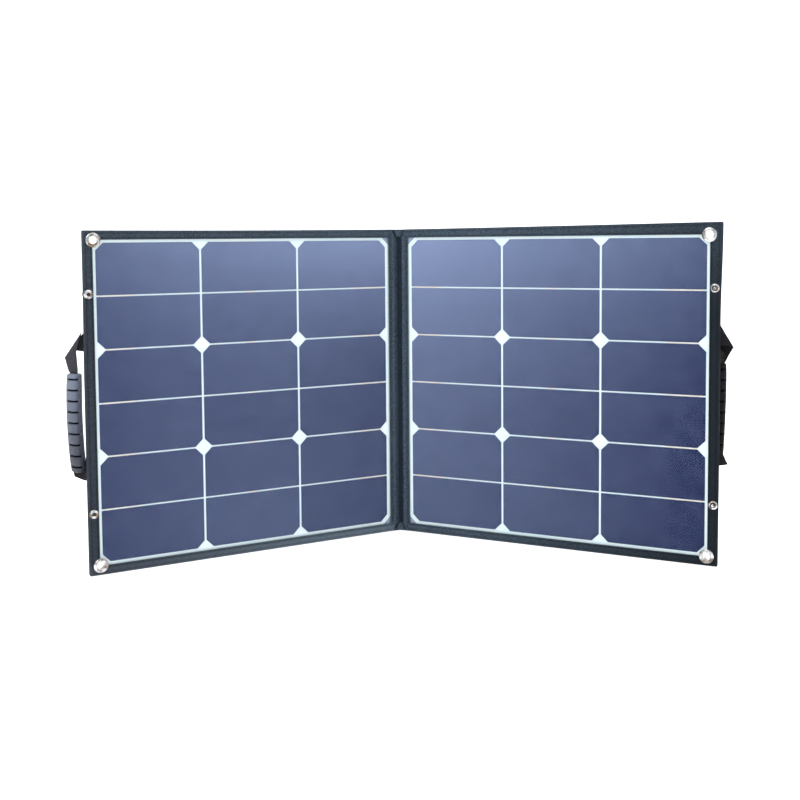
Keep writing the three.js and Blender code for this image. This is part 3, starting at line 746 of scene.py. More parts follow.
def cover_loops(panel):
    """The sewn cover: a hem around the window, the flat border and the folded edge."""
    seed = 3.1 if panel.side > 0 else 8.7
    hem = [
        (0.35, FILM_FRONT - 0.02), (0.05, 0.75), (0.12, 0.3), (0.5, 0.06), (1.1, 0.0), (1.7, 0.03),
        (2.1, 0.22), (2.5, 0.04), (3.4, 0.0),
    ]
    edge = [
        (4.6, 0.0), (3.7, 0.03), (3.3, 0.22), (2.9, 0.03), (1.8, 0.0), (0.9, 0.2), (0.3, 0.75),
        (0.0, 1.8), (0.0, BACK / 2 - 0.6), (0.18, BACK / 2), (0.0, BACK / 2 + 0.6),
        (0.0, BACK - 1.6), (0.3, BACK - 0.7), (0.9, BACK - 0.15), (1.8, BACK), (4.6, BACK),
        (5.0, BACK - 0.2), (5.4, BACK), (8.2, BACK), (8.8, BACK - 0.2), (8.9, BACK - 0.8),
        (2.0, BACK - 1.0), (1.3, BACK - 2.0), (1.3, 2.2), (2.2, 1.1),
    ]
    rows = [(True, *row) for row in hem] + [(False, *row) for row in edge]
    rows.append((True, 2.6, FILM_FRONT - 0.02))
    loops = []
    for at_window, inset, y in rows:
        sides = inset_by(WINDOW, -inset) if at_window else inset_by(COVER, inset)
        radius = 0.4 + 0.3 * inset if at_window else max(CORNER - inset, 0.5)
        uneven = 0.12 if 0 <= y < 0.5 else 0.05
        loop = []
        for u, _, z in rectangle(*sides, radius, y, side_steps=56):
            place = (u, y + ripple(u, z, uneven, seed), z)
            loop.append(place if at_window else slack(panel, *place, inset))
        loops.append(loop)
    return loops


def front_cover(panel):
    mesh = Mesh()
    mesh.add(*skin(cover_loops(panel), ring=True))
    piece = mesh.make(panel.name + "_front_cover", panel, [CLOTH[panel.name]], 50)
    drill_eyelets(piece, panel)
    settle(
        piece, panel.body, "woven_fabric",
        panel.name + "_border_fabric", panel.name + "_edge_binding",
    )


def cover_stitching(panel):
    """Thread rows along the window's hem and the outer edge, front and back."""
    mesh = Mesh()
    hem, edge, edge_back = 2.1, 3.3, 5.0
    stitch_frame(mesh, *inset_by(WINDOW, -hem), -0.02, pitch=3.9, length=2.3, width=1.15)
    for inset, y, facing in ((edge, -0.02, -1), (edge_back, BACK - 0.28, 1)):
        stitch_frame(mesh, *inset_by(COVER, inset), y, rise=(0, facing, 0))
    keep = Mesh()
    fittings = []
    for (u, _, z), reach in ((GROMMET_PLACE, 9.2), (SNAP_PLACE, 6.6)):
        fittings += [(u, z, reach), (u, -z, reach)]
    faces = skin([[(0, 0, 0)] * THREAD_SIDES] * 4)[1]
    for start in range(0, len(mesh.points), THREAD_POINTS):
        thread = mesh.points[start:start + THREAD_POINTS]
        u = sum(p[0] for p in thread) / THREAD_POINTS
        z = sum(p[2] for p in thread) / THREAD_POINTS
        if all(math.hypot(u - fu, z - fz) > reach for fu, fz, reach in fittings):
            if u > OUTER - 4 or abs(z) > HALF - 4:
                thread = [slack(panel, *p) for p in thread]
            keep.add(thread, faces)
    piece = keep.make(panel.name + "_stitching", panel, [THREAD])
    settle(piece, panel.body, "woven_fabric")


def half_cell_loop(u0, u1, low, high, cut_low, cut_high, inset, y):
    """One half cell's outline; the cut corners are at its top or at its bottom."""
    shift = inset * (math.sqrt(2) - 2)
    cut_low += shift
    cut_high += shift
    u0, u1, low, high = u0 + inset, u1 - inset, low + inset, high - inset
    outline = [
        (u0 + cut_low, low), (u1 - cut_low, low), (u1, low + cut_low), (u1, high - cut_high),
        (u1 - cut_high, high), (u0 + cut_high, high), (u0, high - cut_high), (u0, low + cut_low),
    ]
    return [(u, y, z) for u, z in outline]


def cells(panel):
    """Six half cells in each column, and the tinned tabs across the gaps between them."""
    front, back = CELL_LOW[1], CELL_HIGH[1]
    rounding = ((0.12, front - 0.05), (0, front + 0.07), (0, back), (0.1, back + 0.05))
    tabs = Mesh()
    for column in range(3):
        mesh = Mesh()
        u0 = GRID_INNER + column * COLUMN_PITCH
        u1 = u0 + CELL_WIDTH
        for row in range(ROWS):
            low = -GRID_HALF + row * ROW_PITCH
            high = low + ROW_PITCH - ROW_GAP
            cuts = (CELL_CUT, SQUARE_CUT) if row % 2 == 0 else (SQUARE_CUT, CELL_CUT)
            mesh.add(*skin([half_cell_loop(u0, u1, low, high, *cuts, *edge) for edge in rounding]))
            if row < ROWS - 1:
                add_tab(tabs, column, u0, u1, high, row % 2 == 1, front)
        piece = mesh.make(f"{panel.name}_cells_{column + 1}", panel, [SILICON[panel.name]], 20)
        settle(piece, panel.body, "silicon_cell", f"{panel.name}_cell_string_{column + 1}")
    piece = tabs.make(panel.name + "_cell_tabs", panel, [TINNED[panel.name]])
    settle(piece, panel.body, "tinned_copper")


def add_tab(tabs, column, u0, u1, gap, between_cells, front):
    """The tab across one gap: long in the outer and spine columns, short in the middle one."""
    margin = CELL_CUT if between_cells else 2.5
    middle_u = (u0 + u1) / 2
    ends = ((u0 + margin, u0 + 46), (middle_u - 6, middle_u + 6), (u1 - 46, u1 - margin))
    tabs.add(*plate(*ends[column], gap + 0.25, gap + ROW_GAP - 0.25, front - 0.03, front + 0.3, 0.4, 0.1, 2))


EYELET_RIM = (
    (4.5, 1.0), (4.7, 0.4), (5.3, 0.0), (6.3, 0.08), (7.6, 0.28), (8.35, 0.62), (8.6, 1.0),
    (8.55, 1.25), (5.9, 1.3), (5.62, 1.5),
)
EYELET_WASHER = (
    (5.62, 1.5), (5.9, 1.3), (8.55, 1.25), (8.6, 1.0), (8.2, 0.55), (7.0, 0.25), (6.0, 0.35),
    (5.6, 0.05), (4.9, 0.1), (4.5, 0.6),
)


def grommets(panel):
    """Rolled eyelets; their profiles are radius and depth below the front or back face."""
    u, _, z = GROMMET_PLACE
    for place, up in (("top", 1), ("bottom", -1)):
        low, high = panel.box("grommet_" + place)
        profile = [(radius, low[1] + depth) for radius, depth in EYELET_RIM]
        profile += [(radius, high[1] - depth) for radius, depth in EYELET_WASHER]
        mesh = Mesh()
        mesh.add(*turned((u, 0, up * z), smooth_profile(profile, 1, True), 64, ring=True))
        piece = mesh.make(f"{panel.name}_grommet_ring_{place}", panel, [NICKEL], 60)
        settle(piece, panel.body, "nickel", f"{panel.name}_grommet_{place}")


SOCKET_RIM = (
    (2.15, 0.6), (2.5, 0.12), (3.1, 0.0), (3.7, 0.25), (4.1, 0.3), (4.5, 0.05), (5.0, 0.2),
    (5.4, 0.8), (5.5, 1.5),
)
STUD_POST = ((0.02, 0.0), (0.9, 0.05), (1.7, 0.4), (2.1, 1.1), (1.95, 1.8), (1.5, 2.3))
STUD_FLANGE = (
    (1.5, -0.6), (3.1, -0.6), (3.2, -1.7), (3.7, -1.95), (4.5, -1.6), (5.1, -1.1), (5.4, -0.6),
    (5.2, -0.25),
)


def snaps(panel):
    """Snap sockets on the left panel and studs on the right one, with a cap at the back, and painted shade in
    their recesses.
    """
    kind = "socket" if panel.side < 0 else "stud"
    u, _, z = SNAP_PLACE
    for place, up in (("top", 1), ("bottom", -1)):
        node = f"snap_{kind}_{place}"
        low, high = panel.box(node)
        front, back = low[1], high[1]
        cap = [
            (1.8, -0.2), (1.8, BACK + 0.2), (5.3, BACK + 0.25), (5.6, BACK + 0.5),
            (5.3, back - 0.5), (4.0, back - 0.12), (2.0, back), (0.02, back),
        ]
        if kind == "socket":
            rim = [(radius, front + depth) for radius, depth in SOCKET_RIM]
            face = [(0.02, -0.45), (2.0, -0.45), (2.15, -0.8), *rim, (5.3, -0.25)]
            recess = [(0.02, -0.62), (2.08, -0.62), (2.08, -0.5), (0.02, -0.5)]
        else:
            face = [(radius, front + depth) for radius, depth in STUD_POST]
            face += STUD_FLANGE
            recess = [(1.6, -0.95), (3.1, -0.95), (3.1, -0.65), (1.6, -0.65)]
        mesh = Mesh()
        mesh.add(*turned((u, 0, up * z), face + cap, 48))
        # black recess: painted shade on the socket's floor and round the stud's neck under its ball
        mesh.add(*turned((u, 0, up * z), recess, 32, ring=kind == "stud"), 1)
        piece = mesh.make(f"{panel.name}_snap_{place}", panel, [NICKEL, BLACK_PLASTIC_AND_PAINTED_SHADE], 50)
        settle(piece, panel.body, "nickel", f"{panel.name}_{node}")


# Back of a panel

def back_cover(panel):
    """The cloth over the back board, slightly loose between its sewn edges."""
    inset = 6.5
    u0, u1, half = INNER + inset, OUTER - inset, HALF - inset
    steps = 60
    width = steps + 1
    layer = width * width
    seed = 21.0 + panel.side
    mesh = Mesh()
    for depth in (BACK - 0.22 - FABRIC, BACK - 0.22):
        for i in range(width):
            z = -half + 2 * half * i / steps
            for k in range(width):
                u = u0 + (u1 - u0) * k / steps
                edge = min(u - u0, u1 - u, z + half, half - z)
                loose = min(edge / 30, 1.0)
                mesh.points.append((u, depth + loose * ripple(u, z, 0.35, seed), z))
    faces = []
    for i in range(steps):
        for k in range(steps):
            a = i * width + k
            faces.append((a, a + 1, a + 1 + width, a + width))
            faces.append((a + layer, a + width + layer, a + 1 + width + layer, a + 1 + layer))
    rim = [
        *range(width), *range(width + steps, layer, width),
        *range(layer - 2, steps * width - 1, -1), *range((steps - 1) * width, 0, -width),
    ]
    faces += [(a, b, b + layer, a + layer) for a, b in zip(rim, rim[1:] + rim[:1])]
    mesh.faces = faces
    mesh.marks = [0] * len(faces)
    piece = mesh.make(panel.name + "_back_cloth", panel, [CLOTH[panel.name]], 50)
    drill_eyelets(piece, panel)
    settle(piece, panel.body, "woven_fabric", panel.name + "_back_cover")
    (u1 - u0) * MM
    2 * half * MM


# Spine

TURN = LEFT.along.angle(RIGHT.along)    # angle between the panels' directions
ARC_SHARE = 0.3         # share of a strip's points that lie round the fold axis


def arc_strip(depth_at, reach, heights, thickness=FABRIC):
    """A strip across the spine, round about the fold axis, as points of the right panel's frame.

    depth_at gives the depth for a distance from the fold axis and a height.
    """
    bisector = (LEFT.back + RIGHT.back).normalized()
    sideways = UP.cross(bisector) * -1
    loops = []
    for height in heights:
        front_row, back_row = [], []
        for step in range(-40, 41):
            share = step / 40
            if abs(share) <= ARC_SHARE:
                angle, run = share / ARC_SHARE * TURN / 2, 0.0
            else:
                angle = math.copysign(TURN / 2, share)
                run = math.copysign((abs(share) - ARC_SHARE) / (1 - ARC_SHARE) * reach, share)
            out = bisector * math.cos(angle) + sideways * math.sin(angle)
            along = sideways * math.cos(angle) - bisector * math.sin(angle)
            depth = depth_at(abs(run) + RIGHT.front * abs(angle), height) + RIGHT.front
            for rows, extra in ((front_row, 0.0), (back_row, thickness)):
                place = RIGHT.origin + (out * (depth + extra) + along * run + UP * height) * MM
                rows.append(RIGHT.local(place))
        loops.append(front_row + back_row[::-1])
    return loops


def gusset_depth(across, height):
    """A valley between the panels, closed at both ends by a V-shaped tuck in the cloth."""
    from_end = SPINE_HALF - abs(height)
    inside = soft_step(from_end, TUCK - 1, TUCK + 1)
    valley = 2.8 * (1 - soft_step(across, 1.4, 6.0)) * inside
    crease_at = TUCK_OUT + (TUCK_IN - TUCK_OUT) * min(from_end / TUCK, 1)
    crease = 1.8 * math.exp(-((across - crease_at) / 0.9) ** 2) * (1 - inside)
    return -0.18 + valley + crease + 0.9 * soft_step(across, 8.6, 9.6)


def spine():
    """Front gusset, back cover and the joining ribbon, each turning between the panels."""
    gusset_reach, cover_reach = 9.4, 15.0
    ends = [SPINE_HALF - step * 0.9 for step in range(16)]
    between = [ends[-1] - 2 * ends[-1] * step / 60 for step in range(1, 60)]
    heights = ends + between + [-height for height in reversed(ends)]
    strip = arc_strip(gusset_depth, gusset_reach, heights, 0.8)
    piece = spine_piece("spine_gusset_cloth", strip, SPINE_CLOTH)
    bend(piece, 4.5, "edge_tape", "spine_front_gusset")
    sewn_across(gusset_reach, 2.0)

    heights = [SPINE_HALF - 2 * SPINE_HALF * step / 60 for step in range(61)]
    strip = arc_strip(lambda across, height: BACK + 0.15, cover_reach, heights)
    piece = spine_piece("spine_cover_cloth", strip, EDGE["right"])
    bend(piece, 9.0, "edge_tape", "spine_back_cover")
    sewn_across(cover_reach, BACK + 0.6)

    low, high = RIGHT.box("spine_link_ribbon", own=False)
    depth = RIGHT.box("backsheet")[1][1] + 0.3
    heights = [low[2] + (high[2] - low[2]) * step / 8 for step in range(9)]
    strip = arc_strip(lambda across, height: depth, 58.0, heights, 0.4)
    piece = spine_piece("spine_ribbon", strip, COPPER)
    bend(piece, 5.0, "tinned_copper", "spine_link_ribbon")


def spine_piece(name, strip, look):
    mesh = Mesh()
    mesh.add(*skin(strip))
    return mesh.make(name, RIGHT, [look], 60)


def bend(piece, reach_mm, slot, *nodes):
    """Bakes the piece's place into its mesh and hides the CAD nodes that it stands for; reach_mm and slot are
    not used.
    """
    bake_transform(piece)
    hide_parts(*nodes)


def sewn_across(reach, depth):
    """Works out the flat width across the spine of a cloth sewn to both panels; the result is not used."""
    width = 2 * reach + TURN * (RIGHT.front + depth)
    width * MM
    2 * SPINE_HALF * MM


def spine_stitching():
    """Thread rows down both sides of the spine's back cover."""
    for panel in PANELS:
        mesh = Mesh()
        for u in (9.0, 12.5):
            y = BACK + 1.12
            stitch_line(mesh, (u, y, 4 - HALF), (u, y, HALF - 4), (0, 1, 0))
        piece = mesh.make(panel.name + "_spine_stitching", panel, [THREAD])
        settle(piece, panel.body, "edge_tape")


# Handles

class Handle:
    """A handle's own frame: r outward from its swing axis, t through the strap, z up."""

    def __init__(self, panel):
        self.panel = panel
        self.u, self.y, _ = panel.local(JOINTS[panel.name + "_handle_swing"]["pos_m"])
        places = [panel.local(v.co) for v in frame["nodes"][panel.name + "_handle_grip"].data.vertices]
        self.top = max(p[2] for p in places)
        self.bottom = min(p[2] for p in places)
        places = [(u - self.u, y - self.y, z) for u, y, z in places]
        high = [p for p in places if p[2] > self.top - 0.1]
        self.angle = math.atan2(sum(p[1] for p in high), sum(p[0] for p in high))
        c, s = math.cos(self.angle), math.sin(self.angle)
        turned_places = [(u * c + y * s, y * c - u * s, z) for u, y, z in places]
        self.middle = np.polyfit([p[2] for p in turned_places], [p[0] for p in turned_places], 2)
        self.half_depth = max(abs(p[1]) for p in turned_places)
        self.half_width = max(abs(p[0] - self.reach(p[2])) for p in turned_places)
        self.lean = 0.0004 if panel.side > 0 else 0.0

    def point(self, r, t, z):
        c, s = math.cos(self.angle), math.sin(self.angle)
        return self.u + r * c - t * s, self.y + r * s + t * c, z

    def reach(self, z):
        """Distance of the grip's middle line from the swing axis."""
        return float(np.polyval(self.middle, z))

    def along_grip(self, r, t, z):
        """A point beside the grip's middle line; the outer side slants inward at the lower end."""
        outward = min(max((self.half_depth - t) / (2 * self.half_depth), 0.0), 1.0)
        return self.point(self.reach(z) + r, t + outward * self.lean * min(z - 20, 0) ** 2, z)


RIM = {"left": Vector((-0.73, 0.68)), "right": Vector((0.2, -0.98))}    # the grip's smooth edge
GROOVES = 9
GROOVE_DEPTH = 1.9
WEBBING = 1.6           # thickness of the handle's webbing


def grip_rows(handle, grooves):
    """Heights of the grip's sections: close together at its ends and at each groove."""
    rows = [handle.bottom + d for d in (0.0, 0.3, 0.9, 1.8, 3.0)]
    for groove in grooves:
        rows += [groove + d for d in (-3.4, -1.9, -1.35, -0.9, 0.0, 0.9, 1.35, 1.9, 3.4, 5.0)]
    rows += [handle.top - d for d in (3.0, 1.8, 0.9, 0.3, 0.0)]
    return sorted(rows)


def grip_piece(handle):
    """Moulded rubber grip with nine cross grooves between its smooth edges, their floors in painted shade."""
    panel = handle.panel
    length = handle.top - handle.bottom
    pitch = length / GROOVES
    grooves = [handle.bottom + pitch * (k + 0.5) for k in range(GROOVES)]
    rows = grip_rows(handle, grooves)
    around = 60
    rim = RIM[panel.name]
    depths = []
    loops = []
    for z in rows:
        end = min(z - handle.bottom, handle.top - z)
        closing = math.sqrt(max(0.0, 1 - (1 - min(end / 2.4, 1)) ** 2))
        swell = 0.35 * math.sin(math.pi * (z - handle.bottom) / length)
        size = (0.93 + 0.07 * min(end / 14, 1)) * (0.8 + 0.2 * closing)
        nearest = min(abs(z - g) for g in grooves)
        cushion = 0.28 * math.cos(math.pi * nearest / pitch) ** 2 if nearest > 1.35 else 0.0
        groove = 1 - soft_step(nearest, 0.9, 1.35)
        section = []
        for angle in circle(around):
            c, s = math.cos(angle), math.sin(angle)
            r = (handle.half_width + swell) * size * math.copysign(abs(c) ** 0.72, c)
            t = handle.half_depth * size * math.copysign(abs(s) ** 0.72, s)
            section.append(Vector((r, t)))
        widest = max(p.dot(rim) for p in section)
        loop, depth_row = [], []
        for p in section:
            across = p.dot(rim) / widest
            face = soft_step(across, -0.9, -0.78) * (1 - soft_step(across, 0.72, 0.82))
            sink = face * groove
            depth_row.append(sink)
            p = p * (1 - (GROOVE_DEPTH * sink + cushion * face) / p.length)
            loop.append(handle.along_grip(p.x, p.y, z))
        loops.append(loop)
        depths.append(depth_row)
    points, faces = skin(loops)
    # faces deep in a groove take the second look, painted shade
    marks = []
    for k in range(len(rows) - 1):
        for i in range(around):
            j = (i + 1) % around
            corners = (depths[k][i], depths[k][j], depths[k + 1][i], depths[k + 1][j])
            marks.append(1 if min(corners) > 0.5 else 0)
    mesh = Mesh()
    mesh.add(points, faces, marks + [0, 0])
    piece = mesh.make(panel.name + "_grip", panel, [RUBBER[panel.name], GROOVE_PAINTED_SHADE], 40)
    settle(piece, panel.name + "_handle", "rubber_grip", panel.name + "_handle_grip")


def interpolate(points, steps):
    """Points spread along a list of points, straight between them."""
    made = []
    for a, b in zip(points, points[1:]):
        for step in range(steps):
            share = step / steps
            made.append(tuple(p + (q - p) * share for p, q in zip(a, b)))
    made.append(points[-1])
    return made


def strap(mesh, stations, mark=0):
    """A length of webbing; each station is the place of its two edges."""
    first = interpolate([a for a, _ in stations], 5)
    second = interpolate([b for _, b in stations], 5)
    mesh.add(*ribbon(first, second, WEBBING), mark)


SEWN_IN = 0.4           # how far the webbing starts inside the panel's edge


def in_grip(handle, z, r=6):
    """The webbing's two edges inside the grip."""
    return handle.along_grip(r, 0, z), handle.along_grip(-r, 0, z)


def left_straps(handle, mesh):
    """The left handle lies open: a root strip, a fold on the slant, and the strap into the grip."""
    at = handle.point
    top, bottom = handle.top, handle.bottom
    edge = OUTER - SEWN_IN
    strap(mesh, [
        ((edge, 7.2, 84.0), (edge, 7.2, 62.7)), (at(0, 0.9, 82.0), at(3, 0.9, 62.7)),
        (at(20, 0.9, 65.5), at(22, 0.9, 63.2)),
    ], 1)
    strap(mesh, [
        (at(-2.4, -0.9, 85.2), at(0.2, -0.9, 81.0)), (at(33.8, -1.3, 53.5), at(9.3, -1.2, 61.7)),
        (at(27.4, -1.1, 39), at(6.8, -1.1, 40)),
        in_grip(handle, top - 3),
    ])
    strap(mesh, [
        in_grip(handle, bottom + 3),
        (at(24.5, 0.6, -84.5), at(6.5, 5.0, -79)), (at(22.5, 0.8, -89.2), at(4.6, 6.0, -74)),
        (at(3.4, 1.8, -91.2), at(2.0, 4.5, -62)), ((edge, 7.2, -90.6), (edge, 7.2, -61)),
    ], 1)


def right_straps(handle, mesh):
    """The right handle is swung behind its panel, so its strap folds round the panel's edge."""
    at = handle.point
    top, bottom = handle.top, handle.bottom
    edge = OUTER - SEWN_IN
    strap(mesh, [
        ((edge, 7.6, 86.0), (edge, 7.6, 61.3)), ((416, 8.6, 77), (416, 8.6, 61.3)),
        ((421, 9.2, 68.6), (421, 9.2, 61.2)), ((426.4, 9.6, 59.2), (425.4, 9.6, 58.6)),
    ])
    strap(mesh, [
        ((426.0, 11.0, 59.4), (409, 11.0, 72)), ((421.2, 12.6, 50.8), (406, 16, 60)),
        (at(6, -7.0, 46.5), at(22, 2, 47)),
        (handle.along_grip(-6, -4.2, top + 0.5), handle.along_grip(6, -1, top + 0.5)),
        in_grip(handle, top - 4, -6),
    ], 1)
    strap(mesh, [
        ((edge, 7.6, -82.9), (edge, 7.6, -62)), ((416, 8.8, -82.4), (415.5, 8.8, -68.5)),
        ((420.8, 9.4, -81.2), (420.2, 9.4, -79.8)),
    ])
    strap(mesh, [
        ((420.4, 11.0, -81.0), (412.5, 11.0, -71)), ((417, 15, -80.6), (411.5, 17, -73)),
        in_grip(handle, bottom + 3, -6),
    ], 1)


def handle_strap(handle):
    """The webbing of a handle: sewn into the panel's edge at both ends, and through the grip."""
    panel = handle.panel
    mesh = Mesh()
    if panel.side < 0:
        left_straps(handle, mesh)
    else:
        right_straps(handle, mesh)
    heights = [handle.bottom + 3 + (handle.top - handle.bottom - 6) * k / 10 for k in range(11)]
    mesh.add(*ribbon(*zip(*[in_grip(handle, z) for z in heights]), WEBBING))
    # layers with mark 1 take the webbing in painted shade
    looks = [STRAP[panel.name], STRAP_PAINTED_SHADE[panel.name]]
    piece = mesh.make(panel.name + "_handle_strap", panel, looks, 45)
    start = panel.point(handle.u - 2, handle.y, 0)
    end = panel.point(*handle.point(9, 0, 0))
    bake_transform(piece)
    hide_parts(panel.name + "_handle_webbing")


# Stand flaps

def stand(panel):
    """The stand flap, its hinge tape, its stay strap and its hook and loop patches."""
    low, high = panel.box("stand_flap")
    flap_cover(panel, low, high)
    hinge_tape(panel, low[0] + 1, high[0] - 1, high[1])
    stay_strap(panel, low[1])
    for kind, holder, facing in (("loop", panel.body, 1), ("hook", panel.name + "_stand", -1)):
        pile_patch(panel, kind, holder, facing)


def flap_cover(panel, low, high):
    """Cloth shell round the flap, swollen behind its stitched rim."""
    area = area_of(low, high)
    front, back = low[1] + 0.05, high[1] - 0.15
    seam = 3.6
    loops = []
    for inset, y in round_edge(front, back, 1.4, 4):
        loops.append(rectangle(*inset_by(area, inset), 10 - inset * 0.8, y, 24, 8))
    for inset in (3.0, seam, 4.2, 7, 14, 24, 38, 54, 70, 84):
        y = back - 0.18 if inset == seam else back
        loop = rectangle(*inset_by(area, inset), max(10 - inset * 0.8, 0.4), y, 24, 8)
        if inset > 6:
            swell = min(inset / 40, 1) * 0.35
            loop = [(u, y + swell + ripple(u, z, 0.12, 5.0), z) for u, y, z in loop]
        loops.append(loop)
    mesh = Mesh()
    mesh.add(*skin(loops))
    body = panel.name + "_stand"
    piece = mesh.make(panel.name + "_flap_cover", panel, [CLOTH[panel.name]], 45)
    settle(piece, body, "woven_fabric", panel.name + "_stand_flap")
    threads = Mesh()
    stitch_frame(threads, *inset_by(area, seam), back + 0.03, rise=(0, 1, 0))
    settle(threads.make(panel.name + "_flap_stitching", panel, [THREAD]), body, "woven_fabric")


def hinge_tape(panel, u0, u1, back):
    """Tape sewn to the panel and over the flap's upper edge; back is the depth of the flap's back."""
    name = panel.name
    axis = panel.local(JOINTS[name + "_stand_hinge"]["pos_m"])
    route = smooth_profile([
        (BACK + 0.6, 9.0), (BACK + 0.65, -2.0), (BACK + 0.9, -6.0), (back - 1.6, -8.6),
        (back + 0.25, -11.5), (back + 0.35, -16.0), (back + 0.35, -24.0),
    ], 2)
    half_thickness = 0.4
    steps = 30
    along = [u0 + (u1 - u0) * i / steps for i in range(steps + 1)]
    rows = []
    for k, (y, z) in enumerate(route):
        ahead = route[min(k + 1, len(route) - 1)]
        behind = route[max(k - 1, 0)]
        dy, dz = ahead[0] - behind[0], ahead[1] - behind[1]
        size = math.hypot(dy, dz) / half_thickness
        upper = [(u, y - dz / size, z + dy / size) for u in along]
        lower = [(u, y + dz / size, z - dy / size) for u in along]
        rows.append(upper + lower[::-1])
    tape = Mesh()
    tape.add(*skin(rows))
    for z, y in ((6.5, BACK + 1.12), (-21.5, back + 0.86)):
        stitch_line(tape, (u0 + 2, y, z), (u1 - 2, y, z), (0, 1, 0), mark=1)
    piece = tape.make(name + "_hinge_tape_cloth", panel, [EDGE[name], THREAD], 50)
    start = panel.point(axis[0], axis[1], axis[2] + 3)
    end = panel.point(axis[0], axis[1], axis[2] - 4.5)
    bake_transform(piece)
    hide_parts(name + "_stand_hinge_tape")
    (u1 - u0) * MM


def stay_strap(panel, flap_front):
    """The strap between the panel and the flap, and its sewn ends with their crossed stitching."""
    name = panel.name
    low, high = panel.box("stand_stay_strap")
    u0, u1, z_strap = low[0], high[0], low[2] + 2
    start, end = BACK + 0.25, flap_front - 0.15
    steps = 28
    section = [
        (u0, -0.5), (u0 + 0.4, -0.7), (u1 - 0.4, -0.7), (u1, -0.5),
        (u1, 0.5), (u1 - 0.4, 0.7), (u0 + 0.4, 0.7), (u0, 0.5),
    ]
    rows = []
    for k in range(steps + 1):
        y = start + (end - start) * k / steps
        rows.append([(u, y, z_strap + z) for u, z in section])
    stay = Mesh()
    stay.add(*skin(rows))
    piece = stay.make(name + "_stay_webbing", panel, [STRAP[name]], 45)
    route = [panel.point(u0, y, z_strap) for y in (start, end)]
    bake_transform(piece)
    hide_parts(name + "_stand_stay_strap")

    area = (u0, u1, z_strap + 0.6, z_strap + 24.6)
    left, right, foot, head = inset_by(area, 2.5)
    for part, holder, y0, y1, facing in (
        ("panel", panel.body, BACK + 0.05, BACK + 0.6, 1),
        ("flap", name + "_stand", flap_front - 0.5, flap_front + 0.1, -1),
    ):
        sewn_end = Mesh()
        sewn_end.add(*plate(*area, y0, y1, 1.0, 0.2))
        face = y1 + 0.02 if facing > 0 else y0 - 0.02
        rise = (0, facing, 0)
        stitch_frame(sewn_end, left, right, foot, head, face, rise=rise, mark=1)
        stitch_line(sewn_end, (left, face, foot), (right, face, head), rise, mark=1)
        stitch_line(sewn_end, (left, face, head), (right, face, foot), rise, mark=1)
        piece = sewn_end.make(f"{name}_stay_end_{part}", panel, [STRAP[name], THREAD])
        settle(piece, holder, "strap_webbing")


def pile_patch(panel, kind, holder, facing):
    """A sewn patch of hooks or loops; facing is 1 when its pile looks backwards."""
    low, high = panel.box(f"stand_{kind}_patch")
    area = area_of(low, high)
    patch = Mesh()
    patch.add(*plate(*area, low[1], high[1], 2.0, 0.25))
    face = high[1] if facing > 0 else low[1]
    stitch_frame(patch, *inset_by(area, 1.5), face, rise=(0, facing, 0), mark=1)
    piece = patch.make(f"{panel.name}_{kind}_pile", panel, [PILE, THREAD])
    settle(piece, holder, "hook_and_loop", f"{panel.name}_stand_{kind}_patch")


# Pocket

# Inset from the pocket's outline, height above its foot, and bulge
POCKET_OUTSIDE = (
    (-6.0, 0.1), (-6.4, 0.5), (-6.0, 0.9), (-1.5, 1.0), (-0.4, 1.6), (0.0, 4), (-0.5, 9), (-0.7, 15),
    (-0.2, 21), (0.9, 24.5), (2.6, 26.6), (4.2, 27.2), (5.0, 27.0), (5.8, 27.3), (9, 27.4, 0.1),
    (16, 27.4, 0.3), (26, 27.4, 0.5), (38, 27.4, 0.5), (52, 27.4, 0.4), (66, 27.4, 0.2), (73, 27.4, 0.1),
)
POCKET_INSIDE = (
    (73, 26.3, 0.1), (52, 26.3, 0.4), (26, 26.3, 0.5), (9, 26.1), (3.6, 25.1), (1.8, 22), (1.2, 12),
    (1.2, 3), (1.2, 0.1),
)
POCKET_SLOT_MARGIN = 1.2    # of the slot inside the zip tape's edges, and of its seam outside them


